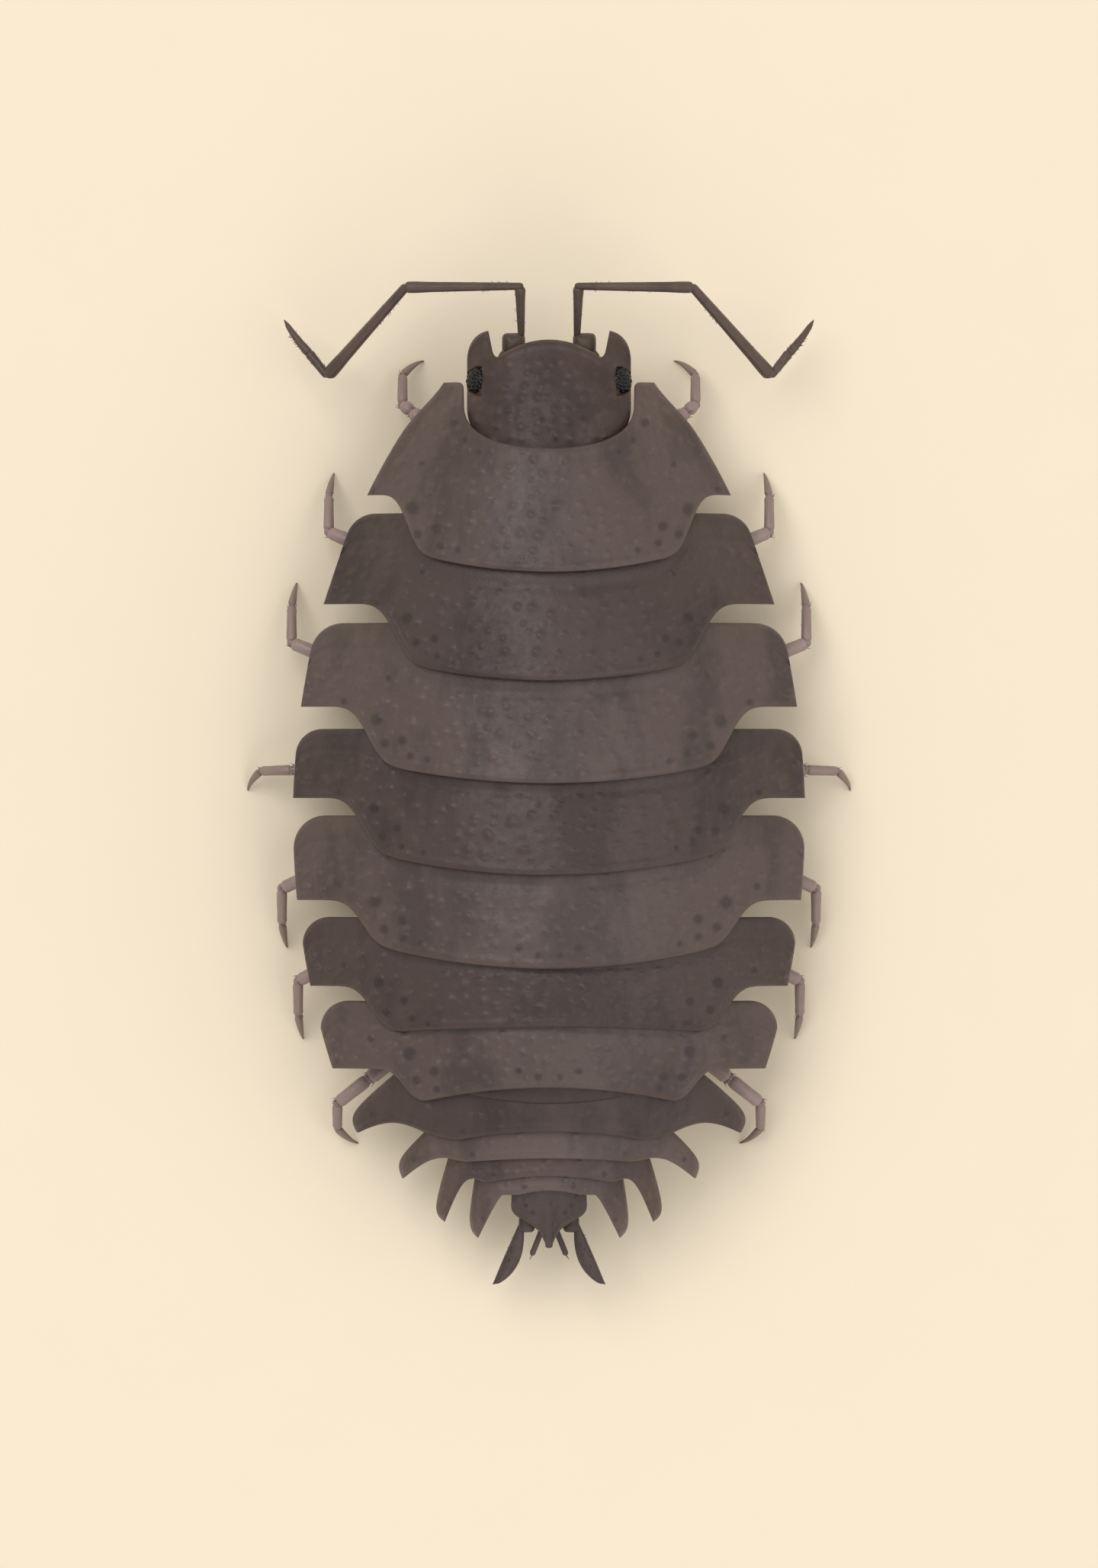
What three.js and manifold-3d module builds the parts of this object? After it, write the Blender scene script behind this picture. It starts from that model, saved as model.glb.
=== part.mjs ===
// A common woodlouse at life size, standing on its fourteen legs.
// Millimetres, +Z up, +Y towards the head, +X to the animal's right. The floor is z = 0.
import * as THREE from 'three';
import { mergeVertices } from 'three/addons/utils/BufferGeometryUtils.js';
import Module from 'manifold-3d';

const wasm = await Module();
wasm.setup();

// Driving dimensions.
const GAP = 0.06; // between pieces that touch
const MARGIN_TOP = 1.55; // top of the body's thin side margin, above the floor
const MARGIN_BOTTOM = 1.25;
const STERNUM = 1.2; // belly between the legs
const COXA_LEVEL = 1.8; // roof of the groove that the legs hang from
const VAULT_POWER = 1.2; // above 1 the back flares out into a skirt at the margin
const PLATE_STEP = 0.14; // how far a plate's rear edge stands above the next plate
const PLATE_CROWN = 0.06; // how far a plate bulges between its edges
const PLATE_EDGE = 0.22; // least thickness of a leg-bearing segment's plate
const LIMB_RADIUS = 0.25;
const FOOT_RADIUS = 0.07;

// The body's outline from head to tail: distance ahead of the middle, half width, height of the back.
const STATIONS = [
  [8.4, 1.6, 2.75],
  [7.44, 1.95, 3.2],
  [6.6, 2.66, 3.5],
  [6.0, 3.03, 3.68],
  [5.35, 3.37, 3.85],
  [3.35, 4.17, 4.2],
  [0.5, 4.7, 4.4],
  [-1.5, 4.72, 4.38],
  [-3.7, 4.43, 4.1],
  [-5.3, 4.0, 3.6],
  [-6.2, 3.66, 3.15],
  [-7.0, 2.95, 2.75],
  [-8.0, 2.1, 2.2],
  [-8.8, 1.3, 1.75],
];

// One row for each of the seven leg-bearing segments, in mm:
// front = front edge of the side plate, corner = its pointed rear corner,
// notch = half width where the rear edge turns into the middle lobe, lobe = half width of that lobe,
// lobeSide and lobeMid = its rear edge at the side and on the midline, round = the rounded front corner.
const PEREON = [
  { front: 7.44, corner: 5.35, notch: 3.14, lobe: 2.26, lobeSide: 4.19, lobeMid: 3.9, round: 0.2 },
  { front: 5.01, corner: 3.33, notch: 3.55, lobe: 2.3, lobeSide: 2.14, lobeMid: 1.9, round: 0.55 },
  { front: 2.98, corner: 1.43, notch: 4.05, lobe: 2.85, lobeSide: 0.3, lobeMid: 0.01, round: 0.62 },
  { front: 1.02, corner: -0.26, notch: 4.16, lobe: 2.95, lobeSide: -1.35, lobeMid: -1.68, round: 0.5 },
  { front: -0.58, corner: -2.15, notch: 4.16, lobe: 2.95, lobeSide: -3.05, lobeMid: -3.4, round: 0.6 },
  { front: -2.46, corner: -3.74, notch: 3.95, lobe: 2.85, lobeSide: -4.58, lobeMid: -4.48, round: 0.5 },
  { front: -4.01, corner: -5.27, notch: 3.24, lobe: 2.33, lobeSide: -5.87, lobeMid: -5.6, round: 0.52 },
];
const NOTCH_SHARPNESS = 2.4;

// The four tail segments with side plates. mid and lobeAt give the band's rear edge, root is where the
// side plate leaves it. The plate runs from front round its shoulder to the tip, and back by its hollow.
const PLEON = [
  {
    mid: -6.42, lobeAt: [1.69, -6.58], root: [2.31, -6.44],
    front: [2.93, -5.42], shoulder: [3.76, -6.12], tip: [3.54, -6.46], hollow: [2.9, -6.16],
  },
  {
    mid: -6.92, lobeAt: [1.5, -6.99], root: [1.87, -6.92],
    front: [2.31, -6.44], shoulder: [2.87, -6.98], tip: [2.7, -7.31], hollow: [2.2, -6.9],
  },
  {
    mid: -7.25, lobeAt: [1.12, -7.37], root: [1.38, -7.3],
    front: [1.87, -6.92], shoulder: [2.18, -7.94], tip: [1.93, -8.11], hollow: [1.6, -7.28],
  },
  {
    mid: -7.52, lobeAt: [0.55, -7.6], root: [0.81, -7.6],
    front: [1.38, -7.3], shoulder: [1.53, -8.22], tip: [1.31, -8.41], hollow: [1.0, -7.6],
  },
];
const PLEON_PLATE = 0.45; // thickness of a tail side plate
const PLEON_FLOOR = 1.75; // underside of the tail's body
const PLEON_BODY = [0.35, 0.6]; // shares of the half width over which that body thins out into plates
const TIP_WIDTH = 0.1;
const SHOULDER_WEIGHT = 2;
const HOLLOW_WEIGHT = 1.5;
const FIRST_BAND = { halfWidth: 1.45, mid: -5.92, drop: 0.12 };
const TELSON = { drop: 0.1, thickness: 0.5, edge: [0.7, -7.75] };

const HEAD = {
  halfWidth: 1.52, rear: 6.24, shoulder: 7.0, collarEnd: 7.36, baySquareness: 0.87,
  lobeTip: [1.12, 8.38], lobeSide: 7.9, notch: [0.98, 7.92], brow: 8.2, browCurve: 2.1,
  top: 3.35, crown: 0.16, fall: 0.6, droop: 0.85, droopCurve: 2.4, thickness: 0.45, level: 2.3,
};
const FACE = { centre: [0, 7.2, 2.1], radii: [1.28, 0.78, 1.05] };
const EYE = { centre: [1.33, 7.42, 2.42], radii: [0.25, 0.29, 0.27] };
const MOUTH_LEVEL = 1.6;
const JAW_SLIT = { width: 0.08, length: 2, depth: 0.12, level: 1.08 };

// Breathing flaps under the tail: five overlapping pairs on one bed.
const FLAP_BED = { centre: [0, -6.95, 1.5], radii: [0.9, 1.25, 0.2] };
const FLAPS = {
  pairs: 5, first: -6.1, step: 0.44, level: 1.38, halfWidth: 0.72, taper: 0.09, apart: 0.8,
  halfLength: 0.5, halfDepth: 0.16, tilt: 0.3,
};

// Forked tail: a base under the tail plate, a blade and a thin inner rod.
const UROPOD_BASE = { centre: [0.46, -8.1, 1.5], radii: [0.26, 0.32, 0.22] };
const UROPOD_BLADE = {
  path: [
    [0.5, -8.1, 1.5], [0.66, -8.42, 1.44], [0.82, -8.78, 1.33], [0.96, -9.08, 1.2], [1.06, -9.29, 1.12],
  ],
  radii: [0.2, 0.24, 0.25, 0.17, 0.05],
};
const UROPOD_ROD = {
  path: [[0.3, -8.15, 1.4], [0.26, -8.5, 1.35], [0.31, -8.8, 1.3]],
  radii: [0.12, 0.12, 0.07],
};

// Legs: root under the body, knee under the side plate, shin outside it, claw on the floor.
const LEGS = [
  { root: [1.35, 6.2], knee: [2.35, 6.75], shin: [2.72, 7.05], ankle: [2.72, 7.6], foot: [2.33, 7.87] },
  { root: [1.55, 4.1], knee: [3.2, 4.3], shin: [4.09, 4.68], ankle: [4.09, 5.35], foot: [4.0, 5.78] },
  { root: [1.7, 2.1], knee: [3.6, 2.15], shin: [4.78, 2.62], ankle: [4.78, 3.3], foot: [4.69, 3.74] },
  { root: [1.75, 0.3], knee: [3.6, 0.28], shin: [4.75, 0.26], ankle: [5.36, 0.24], foot: [5.6, -0.12] },
  { root: [1.75, -1.3], knee: [3.7, -1.35], shin: [4.96, -1.94], ankle: [4.96, -2.6], foot: [4.87, -3.04] },
  { root: [1.65, -2.9], knee: [3.5, -3.05], shin: [4.66, -3.66], ankle: [4.66, -4.3], foot: [4.57, -4.74] },
  { root: [1.5, -4.5], knee: [2.75, -5.0], shin: [3.93, -5.93], ankle: [3.93, -6.4], foot: [3.55, -6.68] },
];
const LEG_LEVELS = { thigh: 1.3, knee: 1.0, middle: 0.86, shin: 0.72, aboveAnkle: 0.43, ankle: 0.4 };
const SHIN_RADIUS = 0.22;
const ANKLE_RADIUS = 0.19;

// Antennae: a stout base, two long articles and a tapering whip, elbowed as in life.
const ANTENNA = {
  base: {
    path: [[0.66, 7.6, 2.0], [0.66, 8.1, 2.02], [0.64, 8.45, 2.08], [0.58, 8.75, 2.2], [0.55, 9.0, 2.32]],
    radii: [0.25, 0.25, 0.24, 0.2, 0.24],
  },
  article_4: {
    path: [[0.58, 9.1, 2.4], [0.9, 9.1, 2.42], [1.9, 9.1, 2.46], [2.55, 9.08, 2.42]],
    radii: [0.2, 0.2, 0.24, 0.25],
  },
  article_5: {
    path: [[2.7, 9.0, 2.38], [2.95, 8.75, 2.25], [3.6, 8.08, 1.72], [4.02, 7.62, 1.3]],
    radii: [0.2, 0.2, 0.24, 0.25],
  },
  whip: {
    path: [[4.17, 7.6, 1.18], [4.35, 7.82, 1.08], [4.68, 8.25, 0.92], [4.92, 8.62, 0.78]],
    radii: [0.2, 0.22, 0.16, 0.05],
  },
};

const COLOURS = {
  plate_light: '#615450',
  plate_dark: '#544642',
  head: '#534643',
  eye: '#232224',
  limb: '#948079',
  antenna: '#5f524e',
  belly: '#8d8077',
};

const materials = Object.fromEntries(
  Object.entries(COLOURS).map(([name, color]) => [
    name,
    new THREE.MeshStandardMaterial({ name, color, roughness: name === 'eye' ? 0.2 : 0.6, metalness: 0 }),
  ]),
);

const lerp = THREE.MathUtils.lerp;

// The stations on one smooth curve, from head to tail.
const stationCurve = new THREE.CatmullRomCurve3(
  STATIONS.map(([y, halfWidth, height]) => new THREE.Vector3(halfWidth, y, height)),
  false,
  'centripetal',
).getPoints(400);

function station(y) {
  const i = Math.max(1, stationCurve.findIndex((p) => p.y <= y));
  const a = stationCurve[i - 1];
  const b = stationCurve[i];
  const t = THREE.MathUtils.clamp((a.y - y) / (a.y - b.y), 0, 1);
  return { halfWidth: lerp(a.x, b.x, t), height: lerp(a.z, b.z, t) };
}

// The vaulted back as one smooth surface.
function backZ(x, y) {
  const s = station(y);
  const share = Math.min(1, Math.abs(x) / s.halfWidth);
  return MARGIN_TOP + (s.height - MARGIN_TOP) * (1 - share * share) ** VAULT_POWER;
}

// The underside: flat belly, the groove that the legs hang from, then the side plates' inner face.
function bellyZ(x, y) {
  const share = Math.min(1, Math.abs(x) / station(y).halfWidth);
  const points = [[0, STERNUM], [0.36, STERNUM], [0.5, COXA_LEVEL], [0.62, COXA_LEVEL], [1, MARGIN_BOTTOM]];
  const i = points.findIndex(([at]) => at >= share);
  if (i < 1) return STERNUM;
  const [a, za] = points[i - 1];
  const [b, zb] = points[i];
  return lerp(za, zb, (share - a) / (b - a));
}

// A closed slab between two half outlines of equal length, mirrored to both sides. front and rear
// are lists of [x, y] from the midline out; topZ and bottomZ read (x, y, share of the way back).
// With onMargin the outer column follows the body's outline between the two.
function slab(front, rear, topZ, bottomZ, rows, onMargin = false) {
  const last = front.length - 1;
  const columns = 2 * last + 1;
  const grid = [];
  for (let j = 0; j <= rows; j++)
    for (let c = 0; c < columns; c++) {
      const k = Math.abs(c - last);
      const side = c < last ? -1 : 1;
      const y = lerp(front[k][1], rear[k][1], j / rows);
      const margin = onMargin && k === last && j > 0 && j < rows;
      const x = margin ? station(y).halfWidth : lerp(front[k][0], rear[k][0], j / rows);
      grid.push([side * x, y, j / rows]);
    }
  const positions = [
    ...grid.flatMap(([x, y, v]) => [x, y, topZ(x, y, v)]),
    ...grid.flatMap(([x, y, v]) => [x, y, bottomZ(x, y, v)]),
  ];
  const below = grid.length;
  const at = (j, c) => j * columns + c;
  const index = [];
  const quad = (a, b, c, d) => index.push(a, b, c, a, c, d);
  for (let j = 0; j < rows; j++)
    for (let c = 0; c < columns - 1; c++) {
      const [p, q, r, s] = [at(j, c), at(j + 1, c), at(j + 1, c + 1), at(j, c + 1)];
      if (c < last) {
        index.push(p, q, r, p, r, s);
        index.push(p + below, r + below, q + below, p + below, s + below, r + below);
      } else {
        index.push(p, q, s, q, r, s);
        index.push(p + below, s + below, q + below, q + below, s + below, r + below);
      }
    }
  for (let c = 0; c < columns - 1; c++) {
    quad(at(0, c), at(0, c + 1), at(0, c + 1) + below, at(0, c) + below);
    quad(at(rows, c + 1), at(rows, c), at(rows, c) + below, at(rows, c + 1) + below);
  }
  for (let j = 0; j < rows; j++) {
    const end = columns - 1;
    quad(at(j + 1, 0), at(j, 0), at(j, 0) + below, at(j + 1, 0) + below);
    quad(at(j, end), at(j + 1, end), at(j + 1, end) + below, at(j, end) + below);
  }
  const geometry = new THREE.BufferGeometry();
  geometry.setAttribute('position', new THREE.BufferAttribute(new Float32Array(positions), 3));
  geometry.setIndex(index);
  return geometry;
}

function toSolid(geometry) {
  const bare = geometry.clone();
  bare.deleteAttribute('normal');
  bare.deleteAttribute('uv');
  const merged = mergeVertices(bare, 1e-4);
  return new wasm.Manifold(
    new wasm.Mesh({
      numProp: 3,
      vertProperties: new Float32Array(merged.attributes.position.array),
      triVerts: new Uint32Array(merged.index.array),
    }),
  );
}

// Only the largest closed surface is kept, so no loose scrap of a cut stays.
function fromSolid(solid) {
  const largest = solid.decompose().sort((a, b) => b.volume() - a.volume())[0];
  const mesh = largest.getMesh();
  const geometry = new THREE.BufferGeometry();
  geometry.setAttribute('position', new THREE.BufferAttribute(new Float32Array(mesh.vertProperties), 3));
  geometry.setIndex(new THREE.BufferAttribute(new Uint32Array(mesh.triVerts), 1));
  return geometry;
}

// Cuts a piece back so that it stays GAP clear of another, on the side that each shift points to.
function clearOf(solid, other, ...shifts) {
  return shifts.reduce((left, shift) => left.subtract(other.translate(shift)), solid);
}

// A limb of round articles: points along its middle, a radius at each, eight sides.
// The last ring can lie flat on the floor.
function limb(points, radii, { sides = 8, footFlat = false } = {}) {
  const path = points.map((p) => new THREE.Vector3(...p));
  const positions = [];
  const index = [];
  path.forEach((p, i) => {
    const before = path[Math.max(0, i - 1)];
    const after = path[Math.min(path.length - 1, i + 1)];
    const along = after.clone().sub(before).normalize();
    const flat = footFlat && i === path.length - 1;
    if (flat) along.set(0, 0, -1);
    const up = new THREE.Vector3(0, 0, 1);
    const forward = path[path.length - 1].clone().sub(path[0]).setZ(0).normalize();
    const sideways = new THREE.Vector3().crossVectors(up, forward).normalize();
    const u = sideways.clone().addScaledVector(along, -sideways.dot(along)).normalize();
    const v = new THREE.Vector3().crossVectors(along, u);
    for (let s = 0; s < sides; s++) {
      const a = (2 * Math.PI * (s + 0.5)) / sides;
      const q = p.clone();
      q.addScaledVector(u, radii[i] * Math.cos(a)).addScaledVector(v, radii[i] * Math.sin(a));
      positions.push(q.x, q.y, q.z);
    }
  });
  for (let i = 0; i < path.length - 1; i++)
    for (let s = 0; s < sides; s++) {
      const a = i * sides + s;
      const b = i * sides + ((s + 1) % sides);
      index.push(a, b, b + sides, a, b + sides, a + sides);
    }
  for (let s = 1; s < sides - 1; s++) {
    index.push(0, s + 1, s);
    const base = (path.length - 1) * sides;
    index.push(base, base + s, base + s + 1);
  }
  const geometry = new THREE.BufferGeometry();
  geometry.setAttribute('position', new THREE.BufferAttribute(new Float32Array(positions), 3));
  geometry.setIndex(index);
  return geometry;
}

function ball({ centre, radii }, detail = 12, turnX = 0) {
  const geometry = new THREE.SphereGeometry(1, detail, Math.round(detail * 0.7));
  geometry.scale(...radii);
  geometry.rotateX(turnX);
  geometry.translate(...centre);
  return toSolid(geometry);
}

// Rear edge of a leg-bearing segment: lobe, S-shaped notch, straight side plate, pointed corner.
const LOBE_STEPS = 5;
const NOTCH_STEPS = 7;
const SIDE_STEPS = 4;

function rearEdge(seg) {
  const points = [];
  const lobeY = (x) => lerp(seg.lobeMid, seg.lobeSide, (x / seg.lobe) ** 2);
  for (let i = 0; i <= LOBE_STEPS; i++) {
    const x = (seg.lobe * 0.92 * i) / LOBE_STEPS;
    points.push([x, lobeY(x)]);
  }
  const from = seg.lobe * 0.92;
  for (let i = 1; i <= NOTCH_STEPS; i++) {
    const t = i / NOTCH_STEPS;
    const x = lerp(from, seg.notch, t);
    const s = t ** NOTCH_SHARPNESS / (t ** NOTCH_SHARPNESS + (1 - t) ** NOTCH_SHARPNESS);
    points.push([x, lerp(lobeY(Math.min(x, seg.lobe)), seg.corner, s)]);
  }
  const cornerX = station(seg.corner).halfWidth;
  for (let i = 1; i <= SIDE_STEPS; i++) points.push([lerp(seg.notch, cornerX, i / SIDE_STEPS), seg.corner]);
  return points;
}

// Front edge: follows the plate ahead until the side plate comes out from under it, then runs
// straight out and round the front corner.
function frontEdge(seg, ahead) {
  const hidden = ahead.filter(([, y]) => y - GAP < seg.front);
  const points = hidden.map(([x, y]) => [x, y - GAP]);
  const left = ahead.length - points.length;
  const startX = points[points.length - 1][0];
  const outerX = station(seg.front - seg.round).halfWidth;
  const roundFrom = outerX - seg.round;
  const straight = Math.max(1, left - 4);
  for (let i = 1; i <= straight; i++) points.push([lerp(startX, roundFrom, i / straight), seg.front]);
  const turns = left - straight;
  for (let i = 1; i <= turns; i++) {
    const a = (Math.PI / 2) * (i / turns);
    points.push([roundFrom + seg.round * Math.sin(a), seg.front - seg.round * (1 - Math.cos(a))]);
  }
  return points;
}

// A plate tilts like a roof tile: low under its neighbour, proud at its rear edge.
const tileZ = (x, y, v) => backZ(x, y) + PLATE_STEP * (v - 0.5) + PLATE_CROWN * Math.sin(Math.PI * v);

const COLLAR_STEPS = LOBE_STEPS + NOTCH_STEPS;

// The seam between head and collar: a rounded bay that ends beside the eyes.
function collar(grow) {
  const outer = HEAD.halfWidth + GAP / 2 + grow;
  const depth = HEAD.shoulder - HEAD.rear + grow;
  const points = [];
  for (let i = 0; i < COLLAR_STEPS; i++) {
    const a = (Math.PI / 2) * (i / (COLLAR_STEPS - 1));
    const x = outer * Math.sin(a) ** HEAD.baySquareness;
    const y = HEAD.shoulder - depth * Math.cos(a) ** HEAD.baySquareness;
    points.push([x, y]);
  }
  return [...points, [outer, HEAD.collarEnd]];
}

function headTopZ(x, y) {
  const along = (y - HEAD.rear) / (HEAD.brow - HEAD.rear);
  const rise = Math.sin(Math.PI * Math.min(1, along * 0.9 + 0.1));
  const share = Math.abs(x) / HEAD.halfWidth;
  return HEAD.top + HEAD.crown * rise - HEAD.fall * along - HEAD.droop * share ** HEAD.droopCurve;
}

// The top of the head: a rounded brow, a notch where each antenna passes, then a side lobe.
const LOBE_TURNS = 5;
const HEAD_ROWS = 6;

function headSlab() {
  const rear = collar(-GAP / 2 - 0.01);
  const [tipX, tipY] = HEAD.lobeTip;
  const [notchX, notchY] = HEAD.notch;
  const browSteps = rear.length - 3 - LOBE_TURNS;
  const front = [];
  for (let i = 0; i <= browSteps; i++) {
    const x = (notchX * i) / browSteps;
    front.push([x, lerp(HEAD.brow, notchY, (x / notchX) ** HEAD.browCurve)]);
  }
  front.push([lerp(notchX, tipX, 0.6), lerp(notchY, tipY, 0.55)]);
  front.push([tipX, tipY]);
  for (let i = 1; i <= LOBE_TURNS; i++) {
    const a = (Math.PI / 2) * (i / LOBE_TURNS);
    front.push([lerp(tipX, HEAD.halfWidth, Math.sin(a)), lerp(HEAD.lobeSide, tipY, Math.cos(a))]);
  }
  const bottomZ = (x, y) => Math.min(headTopZ(x, y) - HEAD.thickness, HEAD.level);
  return slab(front, rear, headTopZ, bottomZ, HEAD_ROWS);
}

const face = ball(FACE, 14);
const eyeBall = (side, grow = 0) => {
  const [x, y, z] = EYE.centre;
  return ball({ centre: [side * x, y, z], radii: EYE.radii.map((r) => r + grow) }, 10);
};
const head = toSolid(headSlab())
  .add(face.trimByPlane([0, 0, 1], MOUTH_LEVEL))
  .subtract(eyeBall(-1, GAP / 2))
  .subtract(eyeBall(1, GAP / 2));
const slit = new THREE.BoxGeometry(JAW_SLIT.width, JAW_SLIT.length, JAW_SLIT.depth);
slit.translate(0, FACE.centre[1], JAW_SLIT.level);
const mouthparts = face.trimByPlane([0, 0, -1], -(MOUTH_LEVEL - GAP)).subtract(toSolid(slit));

// The seven leg-bearing segments. The first has a bay for the head, with a blunt horn on each side.
const PLATE_ROWS = 4;
const HORN_FALL = 0.02;
const segmentBottom = (x, y) => Math.min(bellyZ(x, y), tileZ(x, y, 0) - PLATE_EDGE);

function hornedFront() {
  const bay = collar(GAP / 2);
  const { front } = PEREON[0];
  const inner = bay[bay.length - 1][0];
  const outer = station(front).halfWidth;
  for (let k = 1; k < SIDE_STEPS; k++) bay.push([lerp(inner, outer, k / SIDE_STEPS), front]);
  return [...bay, [outer, front - HORN_FALL]];
}

const rears = PEREON.map(rearEdge);
const tergites = PEREON.map((seg, i) => {
  const front = i === 0 ? hornedFront() : frontEdge(seg, rears[i - 1]);
  return toSolid(slab(front, rears[i], tileZ, segmentBottom, PLATE_ROWS, true));
});

// A bend from one point to another that leans towards through, as steps of [x, y].
// A larger weight leans further.
function bend(from, through, to, weight, steps) {
  return Array.from({ length: steps }, (_, i) => {
    const t = (i + 1) / steps;
    const [a, b, c] = [(1 - t) ** 2, 2 * weight * t * (1 - t), t ** 2];
    return [0, 1].map((k) => (a * from[k] + b * through[k] + c * to[k]) / (a + b + c));
  });
}

// Even steps from the midline out to an end.
const spaced = (end, steps) => Array.from({ length: steps + 1 }, (_, i) => (end * i) / steps);

// The tail: a narrow first band with no side plates, four with them, and the pointed tail plate.
const BAND_STEPS = 6;
const PLATE_STEPS = 7;
const TAIL_ROWS = 3;

function pleonRear(seg) {
  const band = spaced(seg.root[0], BAND_STEPS).map((x) => {
    const [lobeX, lobeY] = seg.lobeAt;
    const beyond = (x - lobeX) / (seg.root[0] - lobeX);
    const y = x < lobeX ? lerp(seg.mid, lobeY, (x / lobeX) ** 2) : lerp(lobeY, seg.root[1], beyond ** 1.5);
    return [x, y];
  });
  return [...band, ...bend(seg.root, seg.hollow, seg.tip, HOLLOW_WEIGHT, PLATE_STEPS)];
}

function pleonFront(seg, seam) {
  const shifted = seam.map(([x, y]) => [x, y - GAP]);
  const tip = [seg.tip[0] + TIP_WIDTH, seg.tip[1] + TIP_WIDTH];
  return [...shifted, ...bend(shifted[shifted.length - 1], seg.shoulder, tip, SHOULDER_WEIGHT, PLATE_STEPS)];
}

function pleonBottom(x, y, v) {
  const share = Math.abs(x) / station(y).halfWidth;
  return lerp(PLEON_FLOOR, tileZ(x, y, v) - PLEON_PLATE, THREE.MathUtils.smoothstep(share, ...PLEON_BODY));
}

// A rear edge read at any distance from the midline.
function edgeAt(edge, x) {
  const i = Math.max(1, edge.findIndex((p) => p[0] >= x));
  const [a, b] = [edge[i - 1], edge[i]];
  return lerp(a[1], b[1], (x - a[0]) / (b[0] - a[0]));
}

const lastRear = rears[rears.length - 1];
function firstBandRearY(x) {
  const end = edgeAt(lastRear, FIRST_BAND.halfWidth) - 2 * GAP;
  return lerp(FIRST_BAND.mid, end, (x / FIRST_BAND.halfWidth) ** 2);
}
const firstBandX = spaced(FIRST_BAND.halfWidth, BAND_STEPS);
const firstBand = toSolid(
  slab(
    firstBandX.map((x) => [x, edgeAt(lastRear, x) - GAP]),
    firstBandX.map((x) => [x, firstBandRearY(x)]),
    (x, y) => backZ(x, y) - FIRST_BAND.drop,
    () => PLEON_FLOOR,
    1,
  ),
);

// Each tail segment is cut clear of the one ahead, the first of them of the last leg-bearing segment too.
const firstSeamY = (x) => (x < FIRST_BAND.halfWidth ? firstBandRearY(x) : edgeAt(lastRear, x));
const pleonSolids = [];
PLEON.forEach((seg, i) => {
  const seam = i === 0
    ? spaced(seg.front[0], BAND_STEPS).map((x) => [x, firstSeamY(x)])
    : pleonRear(PLEON[i - 1]).slice(0, BAND_STEPS + 1);
  const whole = toSolid(slab(pleonFront(seg, seam), pleonRear(seg), tileZ, pleonBottom, TAIL_ROWS));
  pleonSolids.push(
    i === 0
      ? clearOf(clearOf(whole, tergites[6], [0, -GAP, 0], [0, 0, -GAP]), firstBand, [0, -GAP, 0])
      : clearOf(whole, pleonSolids[i - 1], [0, -GAP, 0], [-GAP, 0, 0], [GAP, 0, 0]),
  );
});
const pleonites = [firstBand, ...pleonSolids];

const TELSON_ROWS = 4;
const telsonX = [0, 0.2, 0.4, 0.55, 0.66];
const telsonFront = [...telsonX.map((x) => [x, edgeAt(pleonRear(PLEON[3]), x) - GAP]), TELSON.edge];
const telsonRear = [[0, -8.62], [0.08, -8.62], [0.2, -8.33], [0.42, -8.15], [0.62, -8.06], [0.7, -7.92]];
const telsonTop = (x, y) => backZ(x, y) - TELSON.drop;
const telsonBottom = (x, y) => telsonTop(x, y) - TELSON.thickness;
const telson = clearOf(
  toSolid(slab(telsonFront, telsonRear, telsonTop, telsonBottom, TELSON_ROWS)),
  pleonSolids[3],
  [0, -GAP, 0],
  [-GAP, 0, 0],
  [GAP, 0, 0],
);

let pleopods = ball(FLAP_BED);
for (let i = 0; i < FLAPS.pairs; i++)
  for (const side of [-1, 1]) {
    const halfWidth = FLAPS.halfWidth - FLAPS.taper * i;
    const centre = [side * halfWidth * FLAPS.apart, FLAPS.first - FLAPS.step * i, FLAPS.level];
    const radii = [halfWidth, FLAPS.halfLength, FLAPS.halfDepth];
    pleopods = pleopods.add(ball({ centre, radii }, 9, FLAPS.tilt));
  }
pleopods = pleopods.trimByPlane([0, 0, -1], -(PLEON_FLOOR - GAP));

const mirrored = (path, side) => path.map(([x, y, z]) => [side * x, y, z]);

function uropod(side) {
  const [baseX, baseY, baseZ] = UROPOD_BASE.centre;
  return ball({ centre: [side * baseX, baseY, baseZ], radii: UROPOD_BASE.radii }, 10)
    .add(toSolid(limb(mirrored(UROPOD_BLADE.path, side), UROPOD_BLADE.radii)))
    .add(toSolid(limb(mirrored(UROPOD_ROD.path, side), UROPOD_ROD.radii)));
}

function clearedUropod(side) {
  const belowTelson = clearOf(uropod(side), telson, [0, 0, -GAP], [0, -GAP, -GAP / 2]);
  const belowPlates = clearOf(belowTelson, pleonSolids[3], [0, -GAP, 0], [0, 0, -GAP], [-side * GAP, 0, 0]);
  return clearOf(belowPlates, pleopods, [0, -GAP, 0], [0, 0, GAP]);
}

function leg(side, { root, knee, shin, ankle, foot }) {
  const between = (a, b, t) => [lerp(a[0], b[0], t), lerp(a[1], b[1], t)];
  const path = [
    [...root, COXA_LEVEL],
    [...between(root, knee, 0.35), LEG_LEVELS.thigh],
    [...knee, LEG_LEVELS.knee],
    [...between(knee, shin, 0.5), LEG_LEVELS.middle],
    [...shin, LEG_LEVELS.shin],
    [...between(shin, ankle, 0.9), LEG_LEVELS.aboveAnkle],
    [...ankle, LEG_LEVELS.ankle],
    [...foot, 0],
  ];
  const radii = [...Array(5).fill(LIMB_RADIUS), SHIN_RADIUS, ANKLE_RADIUS, FOOT_RADIUS];
  const solid = toSolid(limb(mirrored(path, side), radii, { footFlat: true })).trimByPlane([0, 0, 1], 0);
  return tergites.reduce((left, tergite) => clearOf(left, tergite, [0, 0, -GAP], [0, 0, 0]), solid);
}

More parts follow.
